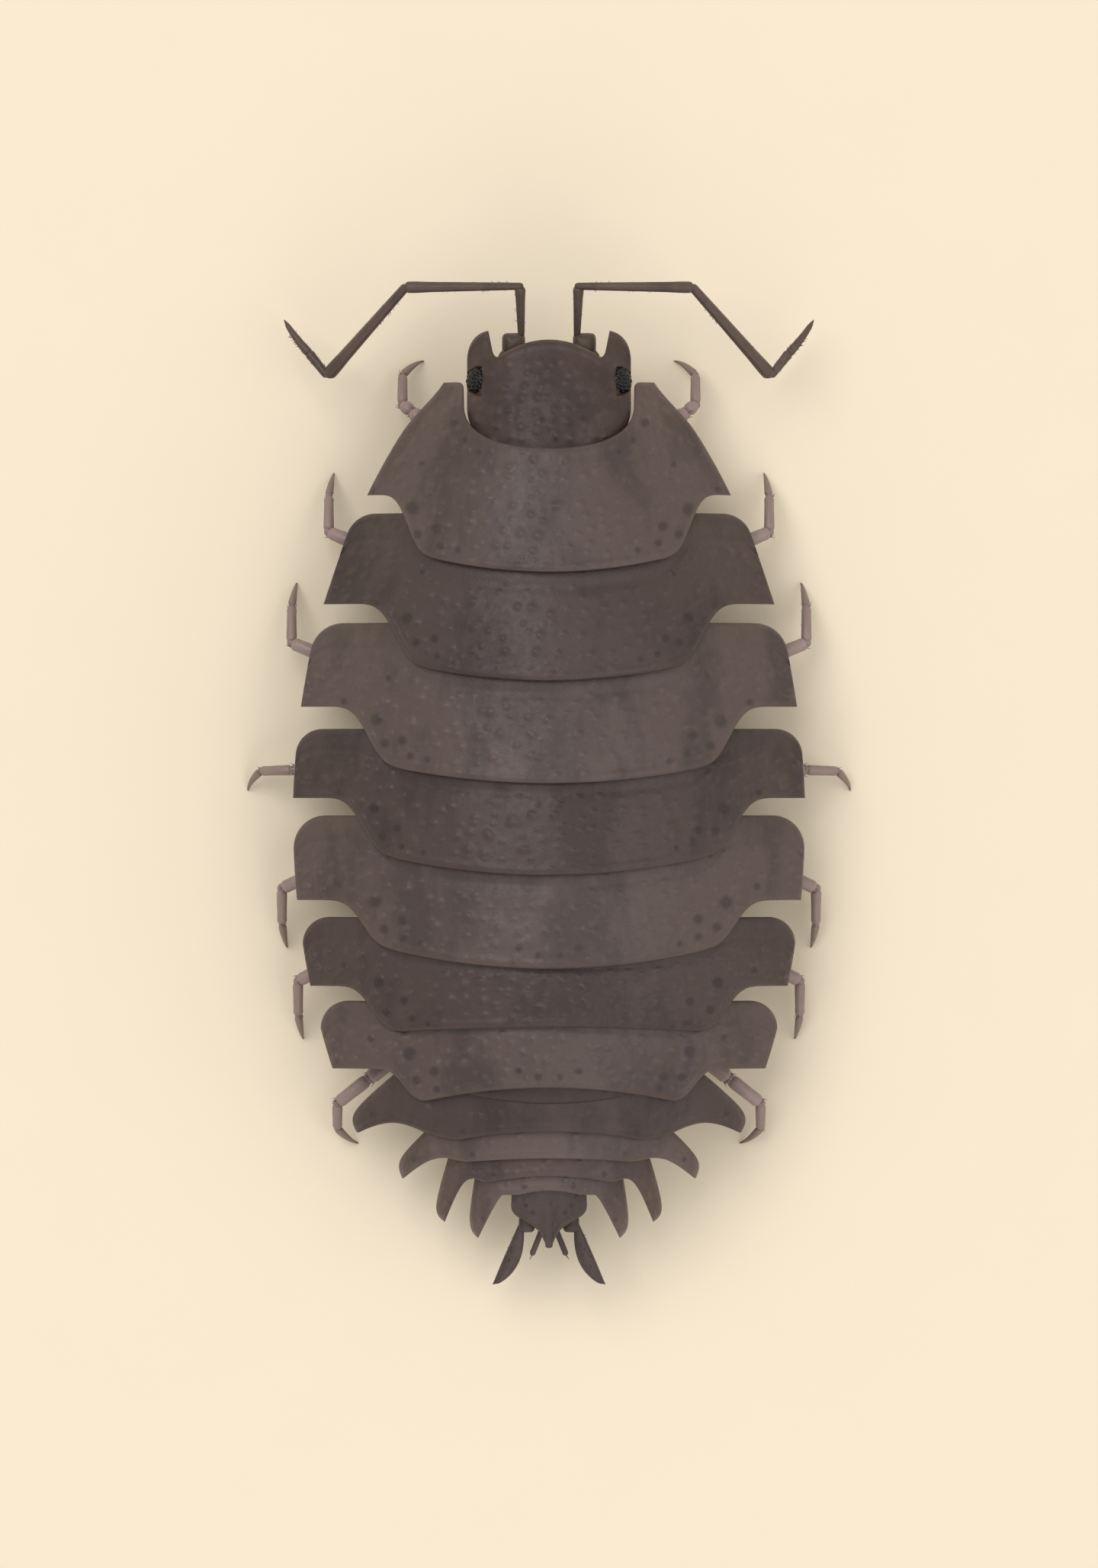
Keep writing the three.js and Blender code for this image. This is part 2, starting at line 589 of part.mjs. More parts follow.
const animal = new THREE.Group();
animal.name = 'woodlouse';
function addPiece(name, geometry, material) {
  const mesh = new THREE.Mesh(geometry, materials[material]);
  mesh.name = name;
  animal.add(mesh);
}

const plateTone = (i) => (i % 2 ? 'plate_dark' : 'plate_light');
addPiece('head', fromSolid(head), 'head');
addPiece('mouthparts', fromSolid(mouthparts), 'belly');
tergites.forEach((solid, i) => addPiece(`pereonite_${i + 1}`, fromSolid(solid), plateTone(i)));
pleonites.forEach((solid, i) => addPiece(`pleonite_${i + 1}`, fromSolid(solid), plateTone(i)));
addPiece('telson', fromSolid(telson), 'plate_dark');
addPiece('pleopods', fromSolid(pleopods), 'belly');

for (const [name, side] of [['left', -1], ['right', 1]]) {
  addPiece(`eye_${name}`, fromSolid(eyeBall(side)), 'eye');
  addPiece(`uropod_${name}`, fromSolid(clearedUropod(side)), 'plate_dark');
  LEGS.forEach((joints, i) => addPiece(`leg_${name}_${i + 1}`, fromSolid(leg(side, joints)), 'limb'));
  for (const [article, { path, radii }] of Object.entries(ANTENNA)) {
    const whole = toSolid(limb(mirrored(path, side), radii));
    const solid = article === 'base' ? clearOf(whole, head, [0, GAP, 0], [0, GAP, -GAP]) : whole;
    addPiece(`antenna_${name}_${article}`, fromSolid(solid), 'antenna');
  }
}

export default animal;
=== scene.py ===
import bpy
import numpy as np
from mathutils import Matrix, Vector


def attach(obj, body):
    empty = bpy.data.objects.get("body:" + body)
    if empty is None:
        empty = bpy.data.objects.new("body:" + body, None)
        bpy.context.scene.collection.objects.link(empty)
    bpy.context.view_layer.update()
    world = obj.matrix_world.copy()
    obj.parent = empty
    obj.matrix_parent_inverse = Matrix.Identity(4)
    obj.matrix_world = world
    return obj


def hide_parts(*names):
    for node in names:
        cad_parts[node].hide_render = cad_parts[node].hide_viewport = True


# A common rough woodlouse at life size. Sizes are in millimetres unless a name says otherwise.
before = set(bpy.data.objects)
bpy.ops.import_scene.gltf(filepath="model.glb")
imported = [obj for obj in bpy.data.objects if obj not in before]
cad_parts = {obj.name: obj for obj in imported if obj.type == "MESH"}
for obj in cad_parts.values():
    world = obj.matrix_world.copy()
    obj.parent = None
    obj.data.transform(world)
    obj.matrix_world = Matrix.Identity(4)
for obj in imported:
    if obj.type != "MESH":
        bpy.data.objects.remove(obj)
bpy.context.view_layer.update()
MM = 0.001
SIDES = (("left", -1), ("right", 1))
rng = np.random.default_rng(17)

# Camera: straight down on the back, head at the top of the picture.
PICTURE_HEIGHT = 29.0
CAMERA_DISTANCE = 350.0
MID_HEIGHT = 2.2  # height above the floor that the camera's distance counts from
SENSOR = 36.0
FLOOR_RADIUS_M = 2.0

# Body form: distance ahead of the middle, half width, height of the back.
STATIONS = np.array([
    [8.4, 1.6, 2.75],
    [7.44, 1.95, 3.2],
    [6.6, 2.66, 3.5],
    [6.0, 3.03, 3.68],
    [5.35, 3.37, 3.85],
    [3.35, 4.17, 4.2],
    [0.5, 4.7, 4.4],
    [-1.5, 4.72, 4.38],
    [-3.7, 4.43, 4.1],
    [-5.3, 4.0, 3.6],
    [-6.2, 3.66, 3.15],
    [-7.0, 2.95, 2.75],
    [-8.0, 2.1, 2.2],
    [-8.8, 1.3, 1.75],
])
MARGIN_TOP = 1.55  # height of the plates' outer margins
VAULT_POWER = 1.2
STERNUM = 1.2  # height of the underside in the middle
COXA_LEVEL = 1.8  # and where the legs hang from it
WALL_SHARE = 0.67  # where the body wall meets the plates, as a share of the half width

# Back plates of the leg-bearing segments, as the drawing has them.
PEREON = [
    dict(front=7.44, corner=5.35, notch=3.14, lobe=2.26, lobe_side=4.19, lobe_mid=3.9, round=0.2),
    dict(front=5.01, corner=3.33, notch=3.55, lobe=2.3, lobe_side=2.14, lobe_mid=1.9, round=0.55),
    dict(front=2.98, corner=1.43, notch=4.05, lobe=2.85, lobe_side=0.3, lobe_mid=0.01, round=0.62),
    dict(front=1.02, corner=-0.26, notch=4.16, lobe=2.95, lobe_side=-1.35, lobe_mid=-1.68, round=0.5),
    dict(front=-0.58, corner=-2.15, notch=4.16, lobe=2.95, lobe_side=-3.05, lobe_mid=-3.4, round=0.6),
    dict(front=-2.46, corner=-3.74, notch=3.95, lobe=2.85, lobe_side=-4.58, lobe_mid=-4.48, round=0.5),
    dict(front=-4.01, corner=-5.27, notch=3.24, lobe=2.33, lobe_side=-5.87, lobe_mid=-5.6, round=0.52),
]
NOTCH_SHARPNESS = 2.4
OVERLAP = 0.45  # how far a plate reaches forward under the one ahead
PLATE = 0.1  # thickness of the shell
TILE_FRONT = -0.17
TILE_RISE = 0.24

# Tail plates: band, where it leaves into the side plate, and the side plate's corners.
PLEON = [
    dict(mid=-6.42, lobe=(1.69, -6.58), root=(2.31, -6.44), front=(2.93, -5.42), shoulder=(3.76, -6.12),
         tip=(3.54, -6.465), hollow=(2.9, -6.16)),
    dict(mid=-6.92, lobe=(1.5, -6.99), root=(1.87, -6.92), front=(2.31, -6.44), shoulder=(2.87, -6.98),
         tip=(2.70, -7.31), hollow=(2.2, -6.9)),
    dict(mid=-7.25, lobe=(1.12, -7.37), root=(1.38, -7.3), front=(1.87, -6.92), shoulder=(2.18, -7.94),
         tip=(1.93, -8.115), hollow=(1.6, -7.28)),
    dict(mid=-7.52, lobe=(0.55, -7.6), root=(0.81, -7.6), front=(1.38, -7.3), shoulder=(1.53, -8.22),
         tip=(1.31, -8.41), hollow=(0.9, -7.56)),
]
TAIL_TIP = 0.05  # how far a side plate's point is blunted

# Tones of the drawing, as sRGB.
TONES = dict(
    light=(0.342, 0.286, 0.273),
    dark=(0.285, 0.23, 0.219),
    # darker: painted shade, a darker tone for the band that tucks under back plate 7, copied from the
    # drawing's shadow-like lens there
    darker=(0.24, 0.194, 0.185),
    # uropod: painted light, lighter than the dark plates whose colour the tail blades share, to lift the
    # shade they sit in low under the tail
    uropod=(0.318, 0.26, 0.248),
    tail_light=(0.37, 0.31, 0.297),
    tail_dark=(0.325, 0.262, 0.25),
    head=(0.282, 0.221, 0.206),
    leg=(0.615, 0.53, 0.508),
    leg_tip=(0.53, 0.465, 0.42),
    antenna=(0.345, 0.28, 0.245),
    belly=(0.6, 0.56, 0.52),
    mouth=(0.47, 0.405, 0.365),
    mouth_tip=(0.36, 0.29, 0.25),
    eye=(0.03, 0.029, 0.031),
    eye_patch=(0.055, 0.045, 0.042),
    floor=(0.945, 0.888, 0.79),
)


def linear(rgb):
    """sRGB to the linear colour that shaders take."""
    return tuple(c / 12.92 if c <= 0.04045 else ((c + 0.055) / 1.055) ** 2.4 for c in rgb)


# Body surface

def read_smooth(column, y):
    """A column of STATIONS at each y, on a smooth curve through the stations."""
    knots = STATIONS[::-1, 0]
    values = STATIONS[::-1, column]
    slopes = np.gradient(values, knots)
    y = np.clip(y, knots[0], knots[-1])
    i = np.clip(np.searchsorted(knots, y) - 1, 0, len(knots) - 2)
    span = knots[i + 1] - knots[i]
    t = (y - knots[i]) / span
    a = values[i] * (1 + 2 * t) * (1 - t) ** 2 + slopes[i] * span * t * (1 - t) ** 2
    b = values[i + 1] * t ** 2 * (3 - 2 * t) - slopes[i + 1] * span * t ** 2 * (1 - t)
    return a + b


def half_width(y):
    return read_smooth(1, y)


def back_z(x, y):
    share = np.clip(np.abs(x) / half_width(y), 0, 1)
    return MARGIN_TOP + (read_smooth(2, y) - MARGIN_TOP) * (1 - share ** 2) ** VAULT_POWER


def smooth_step(t):
    t = np.clip(t, 0, 1)
    return t * t * (3 - 2 * t)


def round_end(share, least=0.0):
    """Grows from 0 to 1 as a quarter circle does, for an end that is half round."""
    return np.sqrt(np.clip(1 - (1 - np.clip(share, 0, 1)) ** 2, least, 1))


def unit(vectors):
    return vectors / np.linalg.norm(vectors, axis=-1, keepdims=True)


def value_noise(x, y, size, seed):
    """Smooth random field from -1 to 1 with bumps about size across."""
    lattice = np.random.default_rng(seed).uniform(-1, 1, (64, 64))
    u, v = x / size + 31.7, y / size + 17.3
    i, j = np.floor(u).astype(int), np.floor(v).astype(int)
    s, t = smooth_step(u - i), smooth_step(v - j)

    def at(a, b):
        return lattice[a % 64, b % 64]

    low = at(i, j) * (1 - s) + at(i + 1, j) * s
    high = at(i, j + 1) * (1 - s) + at(i + 1, j + 1) * s
    return low * (1 - t) + high * t


# Mesh making

def stack(parts):
    """Joins (vertices, faces, attributes) parts into one. Faces are lists of index arrays."""
    verts, faces, marks = [], [], {}
    base = 0
    names = sorted({k for _, _, m in parts for k in m})
    for v, fs, m in parts:
        verts.append(v)
        faces.extend(f + base for f in fs)
        for k in names:
            marks.setdefault(k, []).append(np.broadcast_to(m.get(k, 0.0), len(v)))
        base += len(v)
    return np.concatenate(verts), faces, {k: np.concatenate(v) for k, v in marks.items()}


def new_piece(name, parts, material, nodes=()):
    """One object from parts, in metres, that rides on the body and stands for nodes."""
    verts, faces, marks = stack(parts)
    mesh = bpy.data.meshes.new(name)
    loops = np.concatenate([f.ravel() for f in faces]).astype(np.int32)
    sizes = np.concatenate([np.full(len(f), f.shape[1]) for f in faces])
    mesh.vertices.add(len(verts))
    mesh.vertices.foreach_set("co", (verts * MM).astype(np.float32).ravel())
    mesh.loops.add(len(loops))
    mesh.loops.foreach_set("vertex_index", loops)
    mesh.polygons.add(len(sizes))
    mesh.polygons.foreach_set("loop_start", (np.cumsum(sizes) - sizes).astype(np.int32))
    for key, values in marks.items():
        mesh.attributes.new(key, "FLOAT", "POINT").data.foreach_set("value", values.astype(np.float32))
    mesh.update(calc_edges=True)
    mesh.validate()
    mesh.polygons.foreach_set("use_smooth", np.ones(len(mesh.polygons), bool))
    mesh.materials.append(material)
    piece = bpy.data.objects.new(name, mesh)
    bpy.context.scene.collection.objects.link(piece)
    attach(piece, "root")
    if nodes:
        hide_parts(*nodes)


def grid_faces(rows, columns, wrap=False):
    """Quads between neighbouring rows and columns; wrap joins the last column to the first."""
    index = np.arange(rows * columns).reshape(rows, columns)
    if wrap:
        index = np.column_stack([index, index[:, 0]])
    return np.stack([index[:-1, :-1], index[:-1, 1:], index[1:, 1:], index[1:, :-1]], -1).reshape(-1, 4)


def perimeter(rows, columns):
    index = np.arange(rows * columns).reshape(rows, columns)
    return np.concatenate([index[0], index[1:, -1], index[-1, -2::-1], index[-2:0:-1, 0]])


def closed_shell(xy, top, bottom, marks):
    """A plate from an (rows, columns, 2) grid that runs left to right and front to rear."""
    rows, columns = xy.shape[:2]
    flat = xy.reshape(-1, 2)
    upper = np.column_stack([flat, top.ravel()])
    lower = np.column_stack([flat, bottom.ravel()])
    count = len(flat)
    edge = perimeter(rows, columns)
    after = np.roll(edge, -1)
    walls = np.stack([edge, after, after + count, edge + count], -1)
    quads = grid_faces(rows, columns)
    faces = [quads[:, ::-1], quads + count, walls]
    both = {k: np.tile(v.ravel(), 2) for k, v in marks.items()}
    return np.concatenate([upper, lower]), faces, both


def arc_lengths(points):
    """Distance along a polyline at each of its points."""
    return np.r_[0, np.cumsum(np.linalg.norm(np.diff(points, axis=0), axis=1))]


def resample(points, count, crowd=1.0):
    """count points along a polyline; crowd above 1 sets them closer at its end."""
    steps = arc_lengths(points)
    at = (1 - (1 - np.linspace(0, 1, count)) ** crowd) * steps[-1]
    return np.column_stack([np.interp(at, steps, points[:, k]) for k in range(points.shape[1])])


def bend(start, corner, end, weight=2.0, count=24):
    """A curve from start to end that leans into corner; a larger weight leans further."""
    t = np.linspace(0, 1, count)[:, None]
    a, b, c = (1 - t) ** 2, 2 * weight * t * (1 - t), t ** 2
    return (a * np.array(start) + b * np.array(corner) + c * np.array(end)) / (a + b + c)


def join_stretches(*stretches):
    return np.concatenate([stretches[0]] + [s[1:] for s in stretches[1:]])


ROW_EDGE = np.array([0.0, 0.003, 0.008, 0.016, 0.028])
MIRROR = np.array([-1, 1])


def row_places(count):
    """Shares from front to rear, crowded at both ends for a round rim."""
    middle = np.linspace(0.045, 0.955, count)
    return np.concatenate([ROW_EDGE, middle, 1 - ROW_EDGE[::-1]])


def ruled(front, rear, places):
    return front[None] * (1 - places[:, None, None]) + rear[None] * places[:, None, None]


def both_sides(half, flip=1):
    """The right half of a grid with its mirror image, whose values are times flip."""
    return np.concatenate([half[:, :0:-1] * flip, half], axis=1)


def edge_distance(half, front_shown):
    """Distance of each grid point from the rear edge, the side margin and the shown front edge."""
    rear = np.linalg.norm(half - half[-1:], axis=2)
    side = np.linalg.norm(half - half[:, -1:], axis=2)
    front = np.linalg.norm(half - half[:1], axis=2) + np.where(front_shown, 0, 9)[None]
    return np.minimum(np.minimum(rear, side), front)


def rim_thickness(distance, thickness):
    """Half thickness of a plate that ends in a half-round rim."""
    return thickness / 2 * np.maximum(0.15, round_end(distance / (thickness / 2)))


def bumps(x, y, found):
    """Sum of round bumps (x, y, radius, height) and the strongest share of any of them."""
    lift, mark = np.zeros(x.shape), np.zeros(x.shape)
    for cx, cy, r, h in found:
        near = (np.abs(x - cx) < 3 * r) & (np.abs(y - cy) < 3 * r)
        share = np.exp(-((x[near] - cx) ** 2 + (y[near] - cy) ** 2) / r ** 2)
        lift[near] += h * share
        mark[near] = np.maximum(mark[near], share)
    return lift, mark


def spot_share(mark):
    """A round bump's share as a flat dark spot with a soft edge."""
    return smooth_step((mark - 0.12) / 0.55)


# Outlines of the plates

LOBE_COUNT, NOTCH_COUNT, SIDE_COUNT = 60, 42, 42
LOBE_REACH = 0.92  # share of the lobe's half width at which its corner rounds into the notch
HEAD = dict(half_width=1.516, rear=6.24, shoulder=7.0, front=8.2, top=3.35, crown=0.16, fall=0.6,
            droop=0.85)
COLLAR_POWER = 0.87


def lobe_y(seg, x):
    return seg["lobe_mid"] + (seg["lobe_side"] - seg["lobe_mid"]) * (x / seg["lobe"]) ** 2


def notch_curve(seg):
    t = np.linspace(0, 1, 60)
    s = t ** NOTCH_SHARPNESS / (t ** NOTCH_SHARPNESS + (1 - t) ** NOTCH_SHARPNESS)
    x = LOBE_REACH * seg["lobe"] * (1 - t) + seg["notch"] * t
    start = lobe_y(seg, np.minimum(x, seg["lobe"]))
    return np.column_stack([x, start * (1 - s) + seg["corner"] * s])


def lobe_curve(seg, reach, count=30):
    x = np.linspace(0, reach * seg["lobe"], count)
    return np.column_stack([x, lobe_y(seg, x)])


def plate_edge(lobe, notch, side, crowd=1.0):
    """An edge from its middle lobe through the notch to the outer side."""
    return join_stretches(
        resample(lobe, LOBE_COUNT), resample(notch, NOTCH_COUNT), resample(side, SIDE_COUNT, crowd))


def pereon_rear(seg):
    side = np.array([[seg["notch"], seg["corner"]], [half_width(seg["corner"]), seg["corner"]]])
    return plate_edge(lobe_curve(seg, LOBE_REACH), notch_curve(seg), side, 1.7)


def round_corner(front, radius):
    outer = half_width(front - radius)
    a = np.linspace(0, np.pi / 2, 12)
    return np.column_stack([outer - radius + radius * np.sin(a), front - radius * (1 - np.cos(a))])


def pereon_front(seg, ahead):
    """Hidden under the plate ahead in the middle, then straight out and round the corner."""
    lobe = lobe_curve(ahead, 0.85) + np.array([0, OVERLAP])
    notch = notch_curve(ahead)
    leaves = ahead["notch"]
    if notch[0, 1] < seg["front"]:
        leaves = np.interp(seg["front"], notch[:, 1], notch[:, 0])
    hidden = np.array([lobe[-1], [leaves - 0.3, seg["front"]]])
    side = np.concatenate([hidden[1:], round_corner(seg["front"], seg["round"])])
    return plate_edge(lobe, hidden, side, 1.25)


def collar(grow, deeper=0.0):
    a = np.linspace(0, np.pi / 2, 60)
    x = (HEAD["half_width"] + grow) * np.sin(a) ** COLLAR_POWER
    y = HEAD["shoulder"] - (HEAD["shoulder"] - HEAD["rear"] + grow) * np.cos(a) ** COLLAR_POWER
    return np.column_stack([x, y - deeper * np.cos(a)])


def first_front():
    bay = collar(0.05)
    inner = bay[-1, 0]
    horn = np.concatenate([
        [[inner, HEAD["shoulder"]], [inner, 7.3]],
        bend((inner, 7.3), (inner, 7.44), (inner + 0.13, 7.44), 1.2, 8),
        [[half_width(7.44) - 0.03, 7.44]],
    ])
    cut = int(len(bay) * 0.62)
    return plate_edge(bay[:cut], bay[cut - 1:], horn)


# Materials

def node_tree(name):
    material = bpy.data.materials.new(name)
    material.use_nodes = True
    tree = material.node_tree
    return material, tree, tree.nodes["Principled BSDF"]


def fill_in(tree, node, inputs):
    """Sets inputs of a node, and links those whose value is another node's output."""
    for key, value in inputs.items():
        if isinstance(value, bpy.types.NodeSocket):
            tree.links.new(value, node.inputs[key])
        else:
            node.inputs[key].default_value = value


def add_node(tree, kind, inputs, **settings):
    node = tree.nodes.new("ShaderNode" + kind)
    for key, value in settings.items():
        setattr(node, key, value)
    fill_in(tree, node, inputs)
    return node


def place_in_mm(tree, stretch=(1, 1, 1)):
    """Object coordinates in millimetres, stretched along the axes."""
    where = add_node(tree, "TexCoord", {}).outputs["Object"]
    scale = tuple(s / MM for s in stretch)
    return add_node(tree, "Mapping", {"Vector": where, "Scale": scale}).outputs["Vector"]


def noise(tree, vector, scale, detail=3.0, roughness=0.55):
    inputs = {"Vector": vector, "Scale": scale, "Detail": detail, "Roughness": roughness}
    return add_node(tree, "TexNoise", inputs).outputs["Fac"]


def patches(tree, vector, scale, detail, low, high, to_low=0.0, to_high=1.0, roughness=0.55):
    """Noise whose values from low to high are spread from to_low to to_high."""
    value = noise(tree, vector, scale, detail, roughness)
    inputs = {"Value": value, "From Min": low, "From Max": high, "To Min": to_low, "To Max": to_high}
    return add_node(tree, "MapRange", inputs).outputs["Result"]


def attribute(tree, name):
    return add_node(tree, "Attribute", {}, attribute_name=name).outputs["Fac"]


def shade(colour, share):
    return tuple(c * share for c in colour)


def in_layers(tree, colour, layers):
    """A colour with layers over it in order, each a mask, its strength and its own colour."""
    colour = (*colour, 1)
    for mask, strength, over in layers:
        masked = add_node(tree, "Math", {0: mask, 1: strength}, operation="MULTIPLY").outputs[0]
        inputs = {0: masked, 6: colour, 7: (*over, 1)}
        colour = add_node(tree, "Mix", inputs, data_type="RGBA").outputs[2]
    return colour


def add_bump(tree, shader, height, depth_mm, strength):
    inputs = {"Height": height, "Distance": depth_mm * MM, "Strength": strength}
    fill_in(tree, shader, {"Normal": add_node(tree, "Bump", inputs).outputs["Normal"]})


def chitin(name, tone, streak=(1, 0.42, 1), rough=0.46, seed_shift=0.0):
    """Brown grey shell: cloudy streaks, dark round spots, paler knobs, worn rim, fine grain."""
    material, tree, shader = node_tree(name)
    base = linear(tone)
    darker, warmer = shade(base, 0.55), (base[0] * 1.28, base[1] * 1.22, base[2] * 1.12)
    where = place_in_mm(tree)
    moved = {"Vector": place_in_mm(tree, streak), "Location": (seed_shift, seed_shift * 0.7, 0)}
    streaked = add_node(tree, "Mapping", moved).outputs["Vector"]
    fill_in(tree, shader, {
        "Base Color": in_layers(tree, base, [
            (patches(tree, streaked, 0.8, 5, 0.46, 0.6, roughness=0.62), 0.72, darker),
            (patches(tree, where, 5.5, 3, 0.55, 0.72), 0.3, warmer),
            (patches(tree, where, 17, 2, 0.58, 0.7), 0.25, darker),
            (attribute(tree, "knob"), 0.3, warmer),
            (attribute(tree, "spot"), 0.8, shade(base, 0.45)),
            (attribute(tree, "rim"), 0.35, warmer),
        ]),
        "Roughness": patches(tree, where, 9, 3, 0.3, 0.7, rough - 0.09, rough + 0.12),
        "Specular IOR Level": 0.36,
        "Coat Weight": 0.06,
        "Coat Roughness": 0.35,
    })
    add_bump(tree, shader, noise(tree, where, 26, 3, 0.6), 0.012, 0.7)
    return material


def soft_cuticle(name, tone, tip=None, sub=0.25, rough=0.4):
    """Pale translucent cuticle for legs and the underside."""
    material, tree, shader = node_tree(name)
    base = linear(tone)
    where = place_in_mm(tree)
    tip_layer = [(attribute(tree, "tip"), 1.0, linear(tip))] if tip else []
    fill_in(tree, shader, {
        "Base Color": in_layers(tree, base, [
            (patches(tree, where, 2.6, 4, 0.35, 0.7), 0.5, shade(base, 0.72)),
            (patches(tree, where, 14, 2, 0.6, 0.75), 0.4, shade(base, 0.5)),
            *tip_layer,
            (attribute(tree, "dark"), 0.85, shade(base, 0.3)),
        ]),
        "Roughness": patches(tree, where, 8, 2, 0.3, 0.7, rough - 0.08, rough + 0.12),
        "Subsurface Weight": sub,
        "Subsurface Radius": (1.0, 0.7, 0.5),
        "Subsurface Scale": 0.15 * MM,
        "Specular IOR Level": 0.45,
    })
    add_bump(tree, shader, noise(tree, where, 22, 2), 0.008, 0.6)
    return material


def eye_material():
    material, tree, shader = node_tree("eye_black")
    cloud = patches(tree, place_in_mm(tree), 6, 3, 0.4, 0.7)
    fill_in(tree, shader, {
        "Base Color": in_layers(tree, linear(TONES["eye"]), [(cloud, 1.0, linear(TONES["eye_patch"]))]),
        "Roughness": 0.3,
        "Specular IOR Level": 0.3,
        "Coat Weight": 0.12,
        "Coat Roughness": 0.15,
    })
    return material


def floor_material():
    material, tree, shader = node_tree("pale_floor")
    where = place_in_mm(tree)
    base = linear(TONES["floor"])
    cloud = patches(tree, where, 0.6, 4, 0.3, 0.7, to_high=0.25)
    fill_in(tree, shader, {
        "Base Color": in_layers(tree, base, [(cloud, 1.0, shade(base, 0.97))]),
        "Roughness": 0.85,
        "Specular IOR Level": 0.15,
    })
    add_bump(tree, shader, noise(tree, where, 12, 4), 0.006, 0.2)
    return material


plate_light = chitin("shell_light", TONES["light"])
plate_dark = chitin("shell_dark", TONES["dark"], seed_shift=3.7)
# The band tucked under back plate 7 gets this darker tone as painted shade of the overlap.
plate_painted_shade = chitin("shell_painted_shade", TONES["darker"], seed_shift=6.3)
head_shell = chitin("shell_head", TONES["head"], streak=(1, 0.8, 1), rough=0.5, seed_shift=9.1)
leg_skin = soft_cuticle("leg_cuticle", TONES["leg"], TONES["leg_tip"])
belly_skin = soft_cuticle("belly_cuticle", TONES["belly"], sub=0.35, rough=0.5)
mouth_skin = soft_cuticle("mouth_cuticle", TONES["mouth"], TONES["mouth_tip"], sub=0.2, rough=0.45)
tail_light = chitin("shell_tail_light", TONES["tail_light"])
tail_dark = chitin("shell_tail_dark", TONES["tail_dark"], seed_shift=3.7)
# The tail blades get a lighter tone than their own dark colour, as painted light that lifts the shade they
# sit in.
uropod_shell_painted_light = chitin("shell_uropod_painted_light", TONES["uropod"], seed_shift=2.1)
antenna_skin = chitin("antenna_cuticle", TONES["antenna"], rough=0.42, seed_shift=5.2)
eye_black = eye_material()


# Back plates

KNOB_HEIGHT, SPOT_HEIGHT = 0.05, 0.018


def plate_piece(name, front, rear, rows, rise, front_shown, spots, knob_rows, material, nodes,
                follow_margin=True, drop=0.0, knob_size=0.068, knob_gap=0.32):
    """A shell plate between two edges, with knobs and spots on it."""
    places = row_places(rows)
    half = ruled(front, rear, places)
    if follow_margin:
        outer = half[:, -1]
        shift = half_width(outer[:, 1]) - outer[:, 0]
        weight = np.linspace(0, 1, half.shape[1]) ** 6
        half[..., 0] += shift[:, None] * weight[None]
    grid = both_sides(half, MIRROR)
    x, y = grid[..., 0], grid[..., 1]
    distance = both_sides(edge_distance(half, front_shown))
    share = np.broadcast_to(places[:, None], x.shape)
    relief = 0.018 * value_noise(x, y, 0.9, 5) + 0.006 * value_noise(x, y, 0.25, 8)
    # A low raised bead runs along the shown edges.
    relief = relief + 0.016 * np.exp(-((distance - 0.1) / 0.06) ** 2)
    knobs, knob_mark = bumps(x, y, scatter_knobs(grid, places, knob_rows, knob_size, knob_gap))
    inside = smooth_step(distance / 0.12)
    spot_lift, spot_mark = bumps(x, y, [(*spot, SPOT_HEIGHT) for spot in spots])
    relief = relief + (knobs + spot_lift) * inside
    thick = rim_thickness(distance, PLATE)
    middle = back_z(x, y) + rise(share, x) + drop - PLATE / 2
    top = middle + thick + relief * smooth_step(distance / 0.05)
    marks = dict(knob=knob_mark * inside, spot=spot_share(spot_mark), rim=np.exp(-(distance / 0.07) ** 2))
    new_piece(name, [closed_shell(grid, top, middle - thick, marks)], material, nodes)


def scatter_knobs(grid, places, knob_rows, size, gap):
    """Knobs in transverse rows, a little out of line and uneven, as on the rough species."""
    found = []
    for place, scale in knob_rows:
        line = grid[int(np.argmin(np.abs(places - place)))]
        steps = arc_lengths(line)
        count = max(2, int(steps[-1] / gap))
        for at in (np.arange(count) + 0.5 + rng.normal(0, 0.22, count)) * steps[-1] / count:
            s = scale * rng.uniform(0.55, 1.2)
            dx, dy = rng.normal(0, 0.06, 2)
            x, y = np.interp(at, steps, line[:, 0]) + dx, np.interp(at, steps, line[:, 1]) + dy
            found.append((x, y, size * s, KNOB_HEIGHT * s))
    return found


# How far each kind of plate stands off the body's surface, from its front (share 0) to its rear
# (share 1). All take x too, because the telson's ridge needs it.

def tile(share, x):
    """A plate lies low under its neighbour and stands proud at its rear edge."""
    fold = 0.03 * np.exp(-((share - 0.3) / 0.05) ** 2)
    return TILE_FRONT + TILE_RISE * share ** 0.8 - fold


def first_tile(share, x):
    return 0.01 + (TILE_FRONT + TILE_RISE - 0.01) * share ** 0.8


# Dark round marks: offsets from the rear corner of the lobe, and a radius.
SIDE_SPOTS = [
    (0.3, 0.9, 0.12), (-0.2, 0.56, 0.09), (0.12, 0.42, 0.085), (-0.28, 0.22, 0.07), (-0.6, 0.13, 0.06),
]
FRONT_SPOTS = [(0.04, 1.72, 0.055), (0.95, 1.2, 0.065)]
COLLAR_SPOTS = [(1.77, 6.67, 0.08), (1.56, 6.35, 0.06), (1.29, 6.12, 0.05)]
MIDDLE_SPOTS = {3: (1.3, 0.16), 4: (0.26, 0.13), 6: (0.2, 0.12)}


